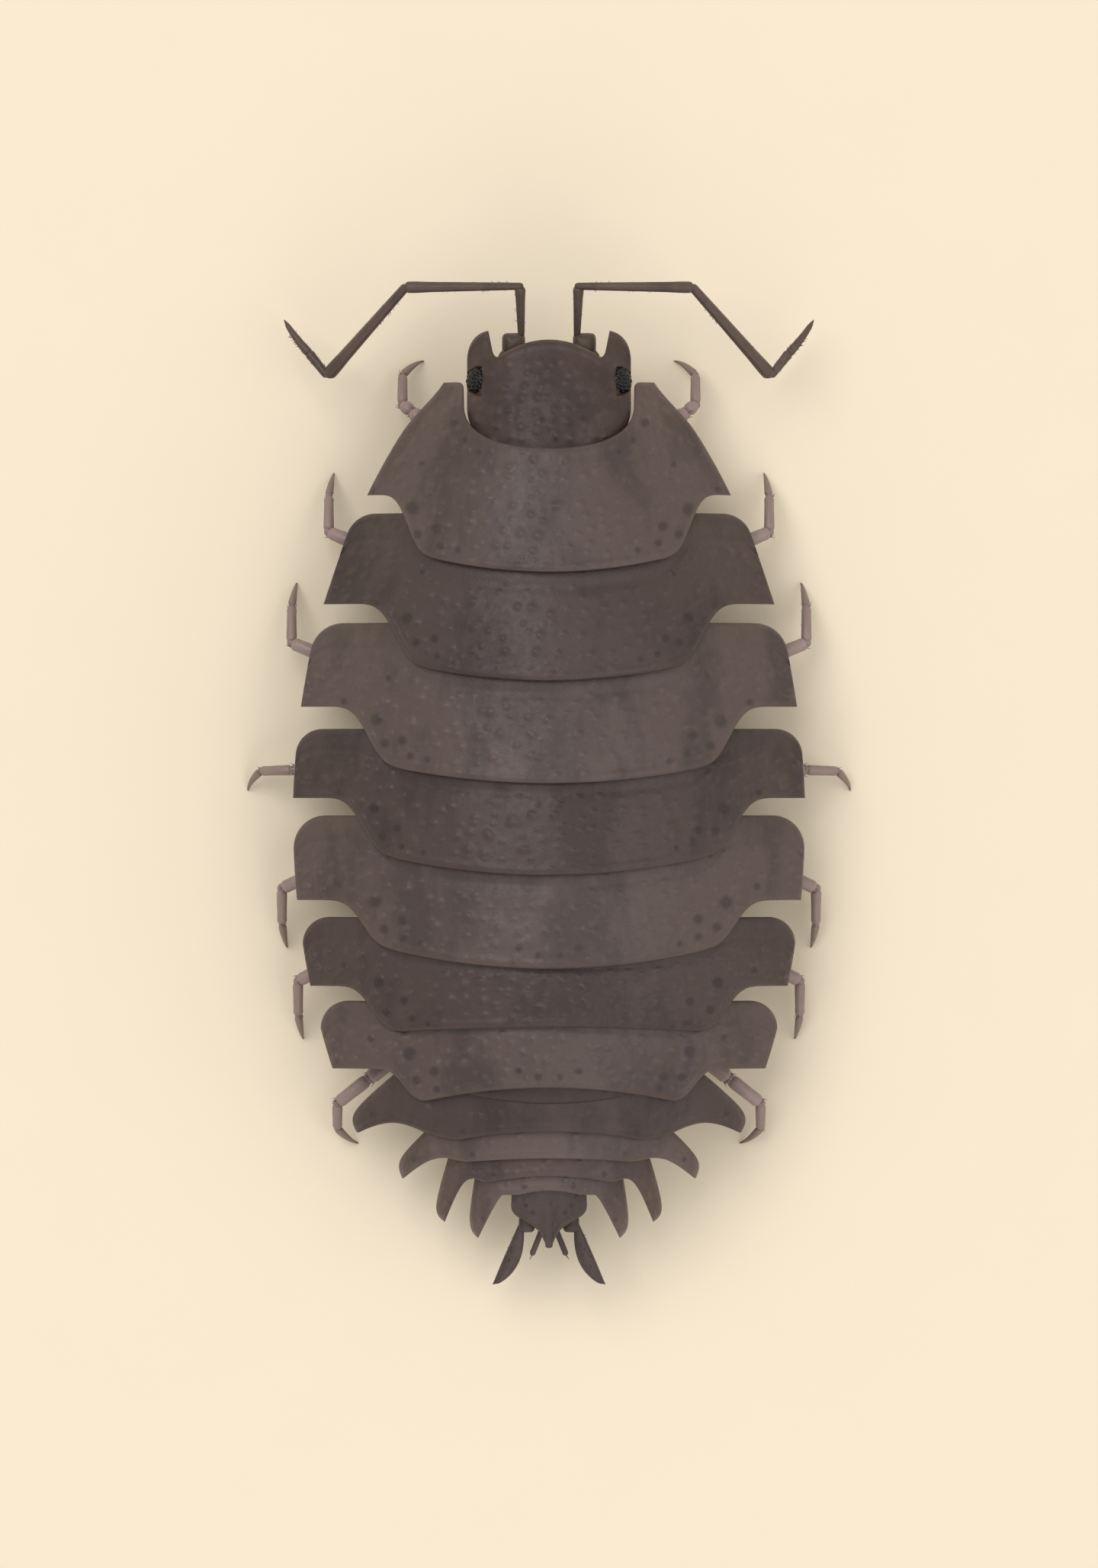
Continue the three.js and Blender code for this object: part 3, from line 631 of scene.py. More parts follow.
def spots_of(number, seg):
    found = []
    for side in (-1, 1):
        for dx, dy, r in SIDE_SPOTS + FRONT_SPOTS:
            size = r * (1 if number % 2 == 0 else 0.9)
            jitter = rng.normal(0, 0.03, 2)
            found.append((side * (seg["lobe"] + dx) + jitter[0], seg["lobe_side"] + dy + jitter[1], size))
        if number == 0:
            found += [(side * x, y, r) for x, y, r in COLLAR_SPOTS]
    if number in MIDDLE_SPOTS:
        ahead, arch = MIDDLE_SPOTS[number]
        for x in (-0.55, -0.2, 0.2, 0.55):
            found.append((x, seg["lobe_mid"] + ahead + arch * (abs(x) > 0.3), 0.065))
    return found


PLATE_ROWS = 84
KNOB_ROWS = [(0.36, 0.6), (0.47, 0.9), (0.57, 0.65), (0.67, 1.0), (0.79, 0.85), (0.87, 0.6), (0.95, 0.75)]
for number, seg in enumerate(PEREON):
    if number == 0:
        front = first_front()
        shown = np.ones(len(front), bool)
        rise, rows = first_tile, KNOB_ROWS + [(0.07, 0.6), (0.16, 0.85), (0.26, 0.9)]
    else:
        front = pereon_front(seg, PEREON[number - 1])
        shown = np.arange(len(front)) >= LOBE_COUNT + NOTCH_COUNT + 4
        rise, rows = tile, KNOB_ROWS
    shell, slot = (plate_light, "plates_light") if number % 2 == 0 else (plate_dark, "plates_dark")
    plate_piece(
        f"back_plate_{number + 1}", front, pereon_rear(seg), PLATE_ROWS, rise, shown,
        spots_of(number, seg), rows, shell, [f"pereonite_{number + 1}"])


# Tail plates

BAND_COUNT, FINGER_COUNT = 46, 40
TAIL_OVERLAP = 0.4  # how far a tail plate reaches forward under the one ahead


def band_curve(seg):
    x = np.linspace(0, seg["root"][0], 40)
    inner = seg["mid"] + (seg["lobe"][1] - seg["mid"]) * (x / seg["lobe"][0]) ** 2
    beyond = np.clip((x - seg["lobe"][0]) / (seg["root"][0] - seg["lobe"][0]), 0, 1)
    outer = seg["lobe"][1] + (seg["root"][1] - seg["lobe"][1]) * beyond ** 1.5
    return np.column_stack([x, np.where(x < seg["lobe"][0], inner, outer)])


def tail_edge(band, finger):
    return join_stretches(resample(band, BAND_COUNT), resample(finger, FINGER_COUNT, 1.5))


def tail_rear(seg):
    return tail_edge(band_curve(seg), bend(seg["root"], seg["hollow"], seg["tip"], 1.6, 50))


def tail_front(seg, ahead_curve):
    start = np.array(seg["front"])
    root = start + 0.42 * unit(start - np.array(seg["shoulder"]))
    hidden = ahead_curve[ahead_curve[:, 0] < root[0] - 0.25] + np.array([0, TAIL_OVERLAP])
    tip = np.array(seg["tip"]) + TAIL_TIP * np.array([0.6, 0.2])
    finger = bend(root, seg["shoulder"], tip, 2.4, 60)
    return tail_edge(np.concatenate([hidden, [root]]), finger)


def tail_tile(share, x):
    return -0.3 + 0.34 * share ** 0.7


last = PEREON[-1]
# The first tail plate shows as a band in the middle, and is tucked under back plate 7 beside it.
BAND_HALF, BAND_MID, BAND_REACH = 1.5, -5.9, 2.15


def band_edge(x):
    return BAND_MID + 0.17 * (x / BAND_HALF) ** 2


band_x = np.linspace(0, BAND_REACH, BAND_COUNT)
band_front = np.column_stack([band_x, lobe_y(last, band_x) + 0.5])
band_tucked = lobe_y(last, band_x) + 0.04 + 0.1 * smooth_step((band_x - BAND_HALF) / 0.6)
band_rear = np.column_stack([band_x, np.where(band_x < BAND_HALF, band_edge(band_x), band_tucked)])


def band_tile(share, x):
    return -0.19 + 0.12 * share


# Its darker tone is painted shade of the overlap under back plate 7.
plate_piece("tail_plate_1", band_front, band_rear, 14, band_tile, np.zeros(BAND_COUNT, bool), [], [],
            plate_painted_shade, ["pleonite_1"], follow_margin=False)

ahead = join_stretches(lobe_curve(last, LOBE_REACH, 20), notch_curve(last))
under_band = ahead[:, 0] < BAND_HALF
ahead[under_band, 1] = np.minimum(ahead[under_band, 1], band_edge(ahead[under_band, 0]))
TAIL_SHELLS = [plate_dark, tail_light, tail_dark, tail_light]
TAIL_ROWS = 34
TAIL_KNOB_ROWS, TELSON_KNOB_ROWS = [(0.62, 0.7), (0.9, 0.55)], [(0.4, 0.6), (0.65, 0.5)]
for number, seg in enumerate(PLEON):
    front = tail_front(seg, ahead)
    shown = np.arange(len(front)) >= BAND_COUNT + 3
    spots = [(side * (seg["tip"][0] * 0.93), seg["tip"][1] + 0.35, 0.05) for side in (-1, 1)]
    spots += [(side * (seg["lobe"][0] - 0.1), seg["lobe"][1] + 0.16, 0.05) for side in (-1, 1)]
    plate_piece(
        f"tail_plate_{number + 2}", front, tail_rear(seg), TAIL_ROWS, tail_tile, shown, spots,
        TAIL_KNOB_ROWS, TAIL_SHELLS[number],
        [f"pleonite_{number + 2}"], follow_margin=False, knob_size=0.07, knob_gap=0.34, drop=-0.02 * number)
    ahead = band_curve(seg)

TELSON_COUNT = 60
TELSON_EDGE = [(0.0, -8.6), (0.062, -8.585), (0.075, -8.5), (0.17, -8.29), (0.28, -8.2), (0.5, -8.05)]
telson_front = resample(np.array([(0, -7.35), (0.35, -7.37), (0.7, -7.48), (0.69, -7.64)]), TELSON_COUNT)
telson_side = bend((0.5, -8.05), (0.72, -7.96), (0.7, -7.74), 1.2, 20)
telson_rear = resample(np.concatenate([TELSON_EDGE, telson_side[1:]]), TELSON_COUNT)
telson_shown = np.arange(TELSON_COUNT) > TELSON_COUNT - 8


def telson_tile(share, x):
    return -0.2 + 0.1 * share - 0.05 * np.exp(-(x / 0.16) ** 2) * smooth_step(share * 2)


TELSON_SPOTS = [(-0.42, -7.8, 0.04), (0.42, -7.8, 0.04), (-0.3, -7.93, 0.035), (0.3, -7.93, 0.035)]
plate_piece("telson_plate", telson_front, telson_rear, TAIL_ROWS, telson_tile, telson_shown, TELSON_SPOTS,
            TELSON_KNOB_ROWS, plate_dark, ["telson"], follow_margin=False,
            knob_size=0.065, knob_gap=0.3)


# Head

def head_top(x, y):
    along = (y - HEAD["rear"]) / (HEAD["front"] - HEAD["rear"])
    arch = HEAD["crown"] * np.sin(np.pi * np.minimum(1, along * 0.9 + 0.1))
    middle = HEAD["top"] + arch - HEAD["fall"] * along
    return middle - HEAD["droop"] * (np.abs(x) / HEAD["half_width"]) ** 2.4


BROW_COUNT, INNER_COUNT, OUTER_COUNT = 44, 26, 30
brow_x = np.linspace(0, 0.86, 40)
brow = np.column_stack([brow_x, 8.21 - 0.26 * (brow_x / 0.86) ** 2])
inner_edge = np.concatenate([bend((0.86, 7.95), (0.98, 7.83), (1.04, 7.98), 1.2, 12), [[1.12, 8.38]]])
outer_edge = bend((1.12, 8.38), (1.5, 8.32), (1.516, 7.86), 0.9, 20)
head_front = join_stretches(
    resample(brow, BROW_COUNT), resample(inner_edge, INNER_COUNT), resample(outer_edge, OUTER_COUNT, 1.2))
head_rear = resample(collar(0.0, 0.3), len(head_front), 1.15)
head_half = ruled(head_front, head_rear, row_places(66))
head_grid = both_sides(head_half, MIRROR)
hx, hy = head_grid[..., 0], head_grid[..., 1]
front_and_side = np.minimum(
    np.linalg.norm(head_half - head_half[:1], axis=2), np.linalg.norm(head_half - head_half[:, -1:], axis=2))
head_distance = both_sides(front_and_side)
knob_spots = [(x + rng.normal(0, 0.055), y + rng.normal(0, 0.055))
              for y in np.arange(6.42, 8.05, 0.235) for x in np.arange(-1.3, 1.35, 0.27)]
knob_sizes = rng.uniform(0.05, 0.085, len(knob_spots))
knob_heights = rng.uniform(0.025, 0.055, len(knob_spots))
knob_lift, knob_mark = bumps(hx, hy, [(*at, r, h) for at, r, h in zip(knob_spots, knob_sizes, knob_heights)])
HEAD_SPOTS = [(0.12, 6.73, 0.055), (0.4, 6.62, 0.05), (0.62, 6.74, 0.05)]
spot_mark = bumps(hx, hy, [(side * x, y, r, 0) for side in (-1, 1) for x, y, r in HEAD_SPOTS])[1]
head_inside = smooth_step(head_distance / 0.14)
# The lobes turn up a little at their tips, and the brow has a thickened rim.
lobe_lift = 0.16 * smooth_step((np.abs(hx) - 0.95) / 0.3) * smooth_step((hy - 7.75) / 0.6)
brow_bead = 0.03 * np.exp(-((head_distance - 0.09) / 0.06) ** 2)
HEAD_PLATE = 0.16
EYE_CENTRE = (1.25, 7.445, 2.29)
EYE_SEAT = dict(inner=1.23, width=0.32, length=0.28, depth=0.13)
head_thick = rim_thickness(head_distance, HEAD_PLATE)
# A seat for each eye is cut into the side of the head, straight on its inner side.
seat_across = (np.abs(hx) - EYE_CENTRE[0]) / EYE_SEAT["width"]
seat_end = EYE_SEAT["length"] * np.sqrt(np.clip(1 - seat_across ** 2, 0, 1))
eye_seat = smooth_step((np.abs(hx) - EYE_SEAT["inner"]) / 0.03)
eye_seat = eye_seat * smooth_step((seat_end - np.abs(hy - EYE_CENTRE[1])) / 0.04)
head_middle = head_top(hx, hy) + lobe_lift - EYE_SEAT["depth"] * eye_seat - HEAD_PLATE / 2
head_upper = head_middle + head_thick + (knob_lift * head_inside + brow_bead)
head_upper = head_upper + 0.01 * value_noise(hx, hy, 0.4, 3)
head_marks = dict(knob=knob_mark * head_inside, spot=spot_share(spot_mark),
                  rim=np.exp(-(head_distance / 0.06) ** 2) * 0.6)
head_parts = [closed_shell(head_grid, head_upper, head_middle - head_thick, head_marks)]


# Round forms

UP = np.array([0.0, 0.0, 1.0])
POLE_GAP = 0.03  # angle left open round each pole, so that the cap there has faces with a size
COLLAR_SIZE = 0.06  # flare of each article before its far end


def to_side(side, points):
    """Points given for the right side, on the left (-1) or right (1) side."""
    return np.array(points) * np.array([side, 1, 1])


def signed_power(values, power):
    return np.sign(values) * np.abs(values) ** power


def closed_faces(rows, columns):
    """Faces of rings in a row, with a fan at either end to two points added after them."""
    count = rows * columns
    ring = np.arange(columns)
    after = np.roll(ring, -1)
    low = np.stack([np.full(columns, count), after, ring], -1)
    high = np.stack([np.full(columns, count + 1), ring + count - columns, after + count - columns], -1)
    return [grid_faces(rows, columns, wrap=True), low, high]


def ellipsoid(centre, radii, rows=28, columns=40, power=1.0, marks=None, upright=1.0):
    """A closed egg form. A power below 1 squares its plan, upright below 1 steepens its sides."""
    pole = np.pi / 2 - POLE_GAP
    v = np.linspace(-pole, pole, rows)
    u = np.linspace(0, 2 * np.pi, columns, endpoint=False)
    vv, uu = np.meshgrid(v, u, indexing="ij")
    out = np.cos(vv) ** upright
    points = np.stack([
        signed_power(np.cos(uu), power) * out,
        signed_power(np.sin(uu), power) * out,
        signed_power(np.sin(vv), upright),
    ], -1)
    verts = points.reshape(-1, 3) * np.array(radii) + np.array(centre)
    verts = np.concatenate([verts, [verts[:columns].mean(0)], [verts[-columns:].mean(0)]])
    return verts, closed_faces(rows, columns), marks or {}


def on_side(side, centre, radii, **shape):
    """The egg form given for the right side, on the left (-1) or right (1) side."""
    return ellipsoid(to_side(side, centre), radii, **shape)


def tube(path, radii, sides=16, flat=1.0, ridges=0, ridge=0.0, marks=None):
    """A closed round form along a path; flat squeezes it from above."""
    along = unit(np.gradient(path, axis=0))
    side = unit(np.cross(along, UP))
    over = np.cross(side, along)
    a = np.linspace(0, 2 * np.pi, sides, endpoint=False)
    wave = 1 + ridge * np.cos(ridges * a) if ridges else np.ones(sides)
    across, upward = np.cos(a) * wave, np.sin(a) * wave * flat
    ring = side[:, None] * across[None, :, None] + over[:, None] * upward[None, :, None]
    verts = (path[:, None] + radii[:, None, None] * ring).reshape(-1, 3)
    verts = np.concatenate([verts, path[:1], path[-1:]])
    spread_marks = {}
    for key, values in (marks or {}).items():
        values = np.broadcast_to(values, len(path))
        spread_marks[key] = np.concatenate([np.repeat(values, sides), values[:1], values[-1:]])
    return verts, closed_faces(len(path), sides), spread_marks


def article(start, end, r0, r1, sides=16, rings=22, flat=1.0, ridges=0, ridge=0.0, bow=0.0, marks=None):
    """One jointed piece of a limb: narrow neck, full middle, flared and rounded far end."""
    length = np.linalg.norm(end - start)
    t = (1 - np.cos(np.linspace(0, np.pi, rings))) / 2
    path = start + (end - start) * t[:, None] + bow * np.sin(np.pi * t)[:, None] * UP
    neck, tail = round_end(t * length / (r0 * 1.1)), round_end((1 - t) * length / (r1 * 0.9))
    body = (r0 + (r1 - r0) * t) * (1 + COLLAR_SIZE * np.exp(-((t - 0.9) / 0.08) ** 2))
    return tube(path, np.maximum(body * neck * tail, 0.004), sides, flat, ridges, ridge, marks)


def spines(bases, directions, lengths, radius, marks=None):
    """Many thin four-sided bristles as one part."""
    directions = unit(directions)
    helper = np.where(np.abs(directions[:, 2:3]) < 0.9, UP, np.array([1.0, 0, 0]))
    u = unit(np.cross(directions, helper))
    v = np.cross(directions, u)
    tips = bases + directions * lengths[:, None]
    corners = [bases + u * radius, bases + v * radius, bases - u * radius, bases - v * radius]
    verts = np.stack([*corners, tips], 1)
    n = np.arange(len(bases))[:, None] * 5
    tris = np.concatenate([n + np.array([[k, (k + 1) % 4, 4]]) for k in range(4)])
    base = n + np.array([[3, 2, 1, 0]])
    return verts.reshape(-1, 3), [tris, base], marks or {}


# The front of the head below the brow: a steep face, the band above the mouth, the upper lip and
# a low keel. On each side the antenna's socket, the cheek under the eye and a tiny first antenna.
FACE_FORMS = [
    dict(centre=(0, 7.14, 2.15), radii=(1.34, 0.92, 0.75), power=0.85, rows=60, columns=80, upright=0.62),
    dict(centre=(0, 7.84, 1.62), radii=(0.66, 0.24, 0.13), power=0.75, rows=24, upright=0.8,
         marks=dict(knob=0.25)),
    dict(centre=(0, 7.94, 1.43), radii=(0.33, 0.15, 0.15), power=0.85, marks=dict(knob=0.4)),
    dict(centre=(0, 8.0, 2.3), radii=(0.07, 0.09, 0.3), marks=dict(rim=0.5)),
]
SOCKET = dict(centre=(0.66, 7.84, 2.02), radii=(0.29, 0.24, 0.27), power=0.9, marks=dict(rim=0.5))
CHEEK = dict(centre=(1.17, 7.38, 2.05), radii=(0.32, 0.5, 0.27), power=0.9)
FIRST_ANTENNA = [(0.2, 7.96, 1.94), (0.22, 8.06, 1.88), (0.25, 8.1, 1.78), (0.26, 8.12, 1.67)]
FIRST_ANTENNA_RADII = (0.06, 0.05, 0.035)

head_parts += [ellipsoid(**form) for form in FACE_FORMS]
for side in (-1, 1):
    head_parts += [on_side(side, **SOCKET), on_side(side, **CHEEK)]
    joints = to_side(side, FIRST_ANTENNA)
    for k, radius in enumerate(FIRST_ANTENNA_RADII):
        head_parts.append(article(joints[k], joints[k + 1], radius, radius * 0.85, sides=12, rings=12,
                                  marks=dict(knob=0.5)))
new_piece("head_capsule", head_parts, head_shell, ["head"])


EYE_RADII = np.array([0.268, 0.268, 0.3])
LENS_RADIUS, LENS_DEPTH = 0.05, 0.9
# Rows of lenses: height in degrees, how many, and how far round they reach to each side.
LENS_ROWS = [(84, 2, 90), (66, 7, 125), (48, 9, 115), (30, 10, 105), (12, 10, 95), (-6, 9, 90)]


def eye_parts(side):
    """Rows of small lenses on a low swelling at the side of the head."""
    centre = to_side(side, EYE_CENTRE)
    parts = [ellipsoid(centre, EYE_RADII, 22, 30)]
    for height, count, reach in LENS_ROWS:
        tilt = np.radians(height)
        for k in range(count):
            turn = np.radians(-reach + 2 * reach * (k + 0.3 * (count % 2)) / (count - 0.4))
            normal = to_side(side, (np.cos(tilt) * np.cos(turn), np.cos(tilt) * np.sin(turn), np.sin(tilt)))
            parts.append(ellipsoid(centre + normal * EYE_RADII * LENS_DEPTH, (LENS_RADIUS,) * 3, 10, 16))
    return parts


for label, side in SIDES:
    new_piece(f"compound_eye_{label}", eye_parts(side), eye_black, [f"eye_{label}"])

# Mouthparts: a pair of flat foot-jaws closed like shutters under the head, with short palps in
# front, and dark-tipped jaws that meet under the lip.
MOUTH_FLOOR = dict(centre=(0, 7.1, 1.42), radii=(0.98, 0.66, 0.24), power=0.8, rows=24)
FOOT_JAW = dict(centre=(0.28, 7.14, 1.2), radii=(0.262, 0.6, 0.1), power=0.55, rows=24, upright=0.7)
SIDE_LOBE = dict(centre=(0.74, 7.16, 1.34), radii=(0.19, 0.5, 0.2), power=0.75, marks=dict(tip=0.3))
PALP = [(0.3, 7.68, 1.2), (0.27, 7.88, 1.24), (0.23, 8.0, 1.31), (0.2, 8.06, 1.4)]
PALP_RADII = [(0.13, 0.12), (0.09, 0.08), (0.06, 0.03)]
PALP_TUFT = (0.2, 8.05, 1.38)
JAW_ROOT, JAW_TIP = (0.68, 7.55, 1.46), (0.1, 7.93, 1.36)
TUFT_HAIRS = 5

mouth = [ellipsoid(**MOUTH_FLOOR)]
for side in (-1, 1):
    mouth += [on_side(side, **FOOT_JAW), on_side(side, **SIDE_LOBE)]
    palp = to_side(side, PALP)
    for k, (r0, r1) in enumerate(PALP_RADII):
        mouth.append(article(palp[k], palp[k + 1], r0, r1, sides=14, flat=0.7))
    mouth.append(article(to_side(side, JAW_ROOT), to_side(side, JAW_TIP), 0.17, 0.1, bow=-0.06,
                         marks=dict(dark=np.linspace(0, 1, 22) ** 5)))
    tuft_ways = rng.normal((0, 0.7, 0.3), 0.4, (TUFT_HAIRS, 3))
    tuft_roots = to_side(side, [PALP_TUFT] * TUFT_HAIRS)
    mouth.append(spines(tuft_roots, tuft_ways, np.full(TUFT_HAIRS, 0.09), 0.01, dict(dark=0.5)))
new_piece("jaw_feet", mouth, mouth_skin, ["mouthparts"])


# Antennae

ANTENNA_TOP = 2.42


def bristles(start, end, radius, count, length):
    """Short hairs all round one article, leaning towards its far end."""
    along = unit(end - start)
    side = unit(np.cross(along, UP))
    over = np.cross(side, along)
    t, a = rng.uniform(0.08, 0.96, count), rng.uniform(0, 2 * np.pi, count)
    out = side[None] * np.cos(a)[:, None] + over[None] * np.sin(a)[:, None]
    bases = start + (end - start) * t[:, None] + out * radius * 0.9
    return spines(bases, out + along * 0.9, rng.uniform(0.7, 1.2, count) * length, 0.0065)


def antenna_parts(side):
    """Base, articles 4 and 5 and a two-jointed whip, in the drawing's places."""

    def at(x, y, z):
        return to_side(side, (x, y, z))

    level = ANTENNA_TOP
    return {
        "base": [
            article(at(0.66, 7.72, 1.98), at(0.66, 8.08, 2.02), 0.19, 0.2, rings=14),
            ellipsoid(at(0.655, 8.13, 2.06), (0.215, 0.215, 0.19), 30, 44, power=0.42),
            article(at(0.515, 8.26, 2.1), at(0.54, 9.21, level - 0.02), 0.06, 0.098, ridges=5, ridge=0.06),
            bristles(at(0.52, 8.36, 2.12), at(0.54, 9.15, level - 0.02), 0.075, 26, 0.06),
        ],
        "article_4": [
            article(at(0.47, 9.2, level), at(2.68, 9.18, level), 0.062, 0.098, ridges=6, ridge=0.07,
                    bow=0.05, rings=34),
            bristles(at(0.6, 9.2, level), at(2.6, 9.18, level), 0.078, 70, 0.06),
        ],
        "article_5": [
            article(at(2.62, 9.22, level - 0.01), at(4.12, 7.56, 1.22), 0.078, 0.115, ridges=6, ridge=0.07,
                    bow=0.06, rings=34),
            bristles(at(2.7, 9.1, level - 0.05), at(4.1, 7.6, 1.25), 0.095, 80, 0.06),
        ],
        "whip": [
            article(at(4.1, 7.55, 1.2), at(4.47, 8.02, 1.02), 0.075, 0.09),
            tube(*whip_end(side), sides=14),
            bristles(at(4.15, 7.62, 1.18), at(4.8, 8.4, 0.88), 0.08, 50, 0.055),
        ],
    }


def whip_end(side):
    t = np.linspace(0, 1, 26)
    path = to_side(side, bend((4.43, 7.97, 1.03), (4.72, 8.28, 0.9), (4.915, 8.62, 0.76), 1.0, 26))
    radii = 0.086 * round_end(t / 0.08) * (1 - 0.55 * t ** 1.3)
    radii = np.where(t > 0.8, radii * (1 - 0.8 * ((t - 0.8) / 0.2) ** 1.5), radii)
    return path, np.maximum(radii, 0.004)


for label, side in SIDES:
    for article_name, parts in antenna_parts(side).items():
        new_piece(f"feeler_{label}_{article_name}", parts, antenna_skin,
                  [f"antenna_{label}_{article_name}"])


# Legs: hip, thigh, three short articles, shin and curved claw.

LEGS = [
    dict(root=(1.35, 6.2), knee=(2.35, 6.75), shin=(2.72, 7.05), ankle=(2.72, 7.6), foot=(2.33, 7.87)),
    dict(root=(1.55, 4.1), knee=(3.2, 4.3), shin=(4.09, 4.68), ankle=(4.09, 5.35), foot=(4.0, 5.78)),
    dict(root=(1.7, 2.1), knee=(3.6, 2.15), shin=(4.78, 2.62), ankle=(4.78, 3.3), foot=(4.69, 3.74)),
    dict(root=(1.75, 0.3), knee=(3.6, 0.28), shin=(4.75, 0.26), ankle=(5.36, 0.24), foot=(5.6, -0.12)),
    dict(root=(1.75, -1.3), knee=(3.7, -1.35), shin=(4.96, -1.94), ankle=(4.96, -2.6), foot=(4.87, -3.04)),
    dict(root=(1.65, -2.9), knee=(3.5, -3.05), shin=(4.66, -3.66), ankle=(4.66, -4.3), foot=(4.57, -4.74)),
    dict(root=(1.5, -4.5), knee=(2.75, -5.0), shin=(3.93, -5.93), ankle=(3.93, -6.4), foot=(3.55, -6.68)),
]
# Heights of the root, thigh, knee, the middle of the short articles, shin, ankle and foot.
JOINT_HEIGHTS = [1.8, 1.12, 1.0, 0.88, 0.73, 0.42, 0.0]
LEG_RADII = [(0.2, 0.17), (0.165, 0.15), (0.15, 0.14), (0.13, 0.115), (0.1, 0.085)]
LEG_SPINES = {2: 7, 3: 9, 4: 10}  # how many stand under each of the outer articles
CROWN_SPINES = 6
CLAW_RADIUS = 0.08
HIP_RADII = (0.27, 0.24, 0.2)


def leg_joints(leg):
    root, knee, shin, ankle, foot = map(np.array, leg.values())
    thigh, middle = root + (knee - root) * 0.6, (knee + shin) / 2
    plan = [root, thigh, knee, middle, shin, ankle, foot]
    return [np.array([*q, z]) for q, z in zip(plan, JOINT_HEIGHTS)]


def leg_parts(leg, side):
    j = [to_side(side, p) for p in leg_joints(leg)]
    parts = []
    for k, (r0, r1) in enumerate(LEG_RADII):
        parts.append(article(j[k], j[k + 1], r0, r1, bow=0.04, marks=dict(tip=0.5 * (k == 4))))
        step = unit(j[k + 1] - j[k])
        parts.append(ellipsoid(j[k + 1], (r1 * 0.78,) * 3, 10, 14, marks=dict(dark=0.3)))
        if k not in LEG_SPINES:
            continue
        count = LEG_SPINES[k]
        t = np.linspace(0.15, 0.95, count)[:, None]
        across = np.cross(step, UP)
        out = across * rng.normal(0, 0.35, (count, 1)) - UP
        bases = j[k] + (j[k + 1] - j[k]) * t + out * (r0 + r1) / 2 * 0.8
        lengths = rng.uniform(0.09, 0.17, count)
        parts.append(spines(bases, out + step * 0.9, lengths, 0.013, dict(dark=0.6)))
        crown = rng.uniform(0, 2 * np.pi, CROWN_SPINES)
        over = np.cross(across, step)
        ring = across * np.cos(crown)[:, None] + over * np.sin(crown)[:, None]
        lengths = rng.uniform(0.08, 0.14, CROWN_SPINES)
        roots = j[k + 1] - step * 0.04 + ring * r1 * 0.8
        parts.append(spines(roots, ring * 0.5 + step, lengths, 0.012, dict(dark=0.6)))
    # The last article curves down to a dark claw with its point on the floor.
    shin, ankle, foot = j[4:]
    corner = ankle + (foot - ankle) * 0.55 + unit(ankle - shin) * 0.1 + 0.07 * UP
    path = bend(ankle, corner, foot + 0.012 * UP, 1.0, 24)
    t = np.linspace(0, 1, 24)
    radii = np.maximum(CLAW_RADIUS * (1 - 0.86 * t ** 1.2) * round_end(t / 0.1, 0.02), 0.006)
    parts.append(tube(path, radii, 12, marks=dict(tip=1.0, dark=smooth_step((t - 0.72) / 0.1))))
    parts.append(ellipsoid(j[0] + 0.02 * UP, HIP_RADII, 16, 20))
    return parts


for label, side in SIDES:
    for number, leg in enumerate(LEGS):
        new_piece(f"walking_leg_{label}_{number + 1}", leg_parts(leg, side), leg_skin,
                  [f"leg_{label}_{number + 1}"])


# Underside: body wall with a raised bar for each segment, then the breathing flaps.

def belly_part():
    """Skin of the underside with a raised bar at each pair of legs, closed above by a hidden lid."""
    y = np.linspace(6.05, -7.5, 230)
    share = np.r_[np.linspace(0, 0.6, 34), np.linspace(0.61, WALL_SHARE, 14)]
    share = np.r_[-share[:0:-1], share]
    yy, ss = np.meshgrid(y, share, indexing="ij")
    tail_edge = np.interp(-yy, [4.2, 5.0, 6.0, 6.5, 7.0, 7.35, 7.6], [3.0, 2.55, 2.0, 1.62, 1.4, 1.02, 0.5])
    widest = np.minimum(WALL_SHARE * half_width(yy), tail_edge)
    x = ss / WALL_SHARE * widest
    a = np.abs(ss)
    z = STERNUM + (COXA_LEVEL - STERNUM) * smooth_step((a - 0.3) / 0.3)
    roof = back_z(x, yy) - PLATE - 0.2
    ends = np.maximum(smooth_step((-5.6 - yy) / 0.5), smooth_step((yy - 5.45) / 0.6))
    z = z + ends * (1.75 - z)
    z = z + (roof - z) * smooth_step((a - 0.6) / (WALL_SHARE - 0.6))
    leg_y = np.array([leg["root"][1] for leg in LEGS])
    bar = np.exp(-((yy[..., None] - leg_y) / 0.34) ** 2).max(-1)
    between = np.exp(-((yy[..., None] - (leg_y[1:] + leg_y[:-1]) / 2) / 0.12) ** 2).max(-1)
    inside = smooth_step((0.56 - a) / 0.15)
    z = z + (0.12 * between - 0.1 * bar) * inside * (1 - ends)
    z = np.minimum(z, roof)
    return closed_shell(np.stack([x, yy], -1), roof + 0.02, z, {})


NECK = ellipsoid((0, 6.3, 2.1), (1.22, 1.0, 0.86), 30, 48)
new_piece("belly", [belly_part(), NECK], belly_skin)

FLAP_TILT = np.radians(16)
cos, sin = np.cos(FLAP_TILT), np.sin(FLAP_TILT)
TURN = np.array([[1, 0, 0], [0, cos, sin], [0, -sin, cos]])
flaps = [ellipsoid((0, -6.75, 1.66), (0.95, 1.0, 0.16), 16, 30)]
for pair in range(5):
    for side in (-1, 1):
        width = 0.72 - 0.1 * pair
        centre = np.array([side * width * 0.85, -6.0 - 0.385 * pair, 1.5 - 0.02 * pair])
        verts, faces, marks = ellipsoid((0, 0, 0), (width, 0.42, 0.075), 20, 36, power=0.85)
        flaps.append((verts @ TURN + centre, faces, marks))
new_piece("breathing_flaps", flaps, belly_skin, ["pleopods"])


# Tail appendages

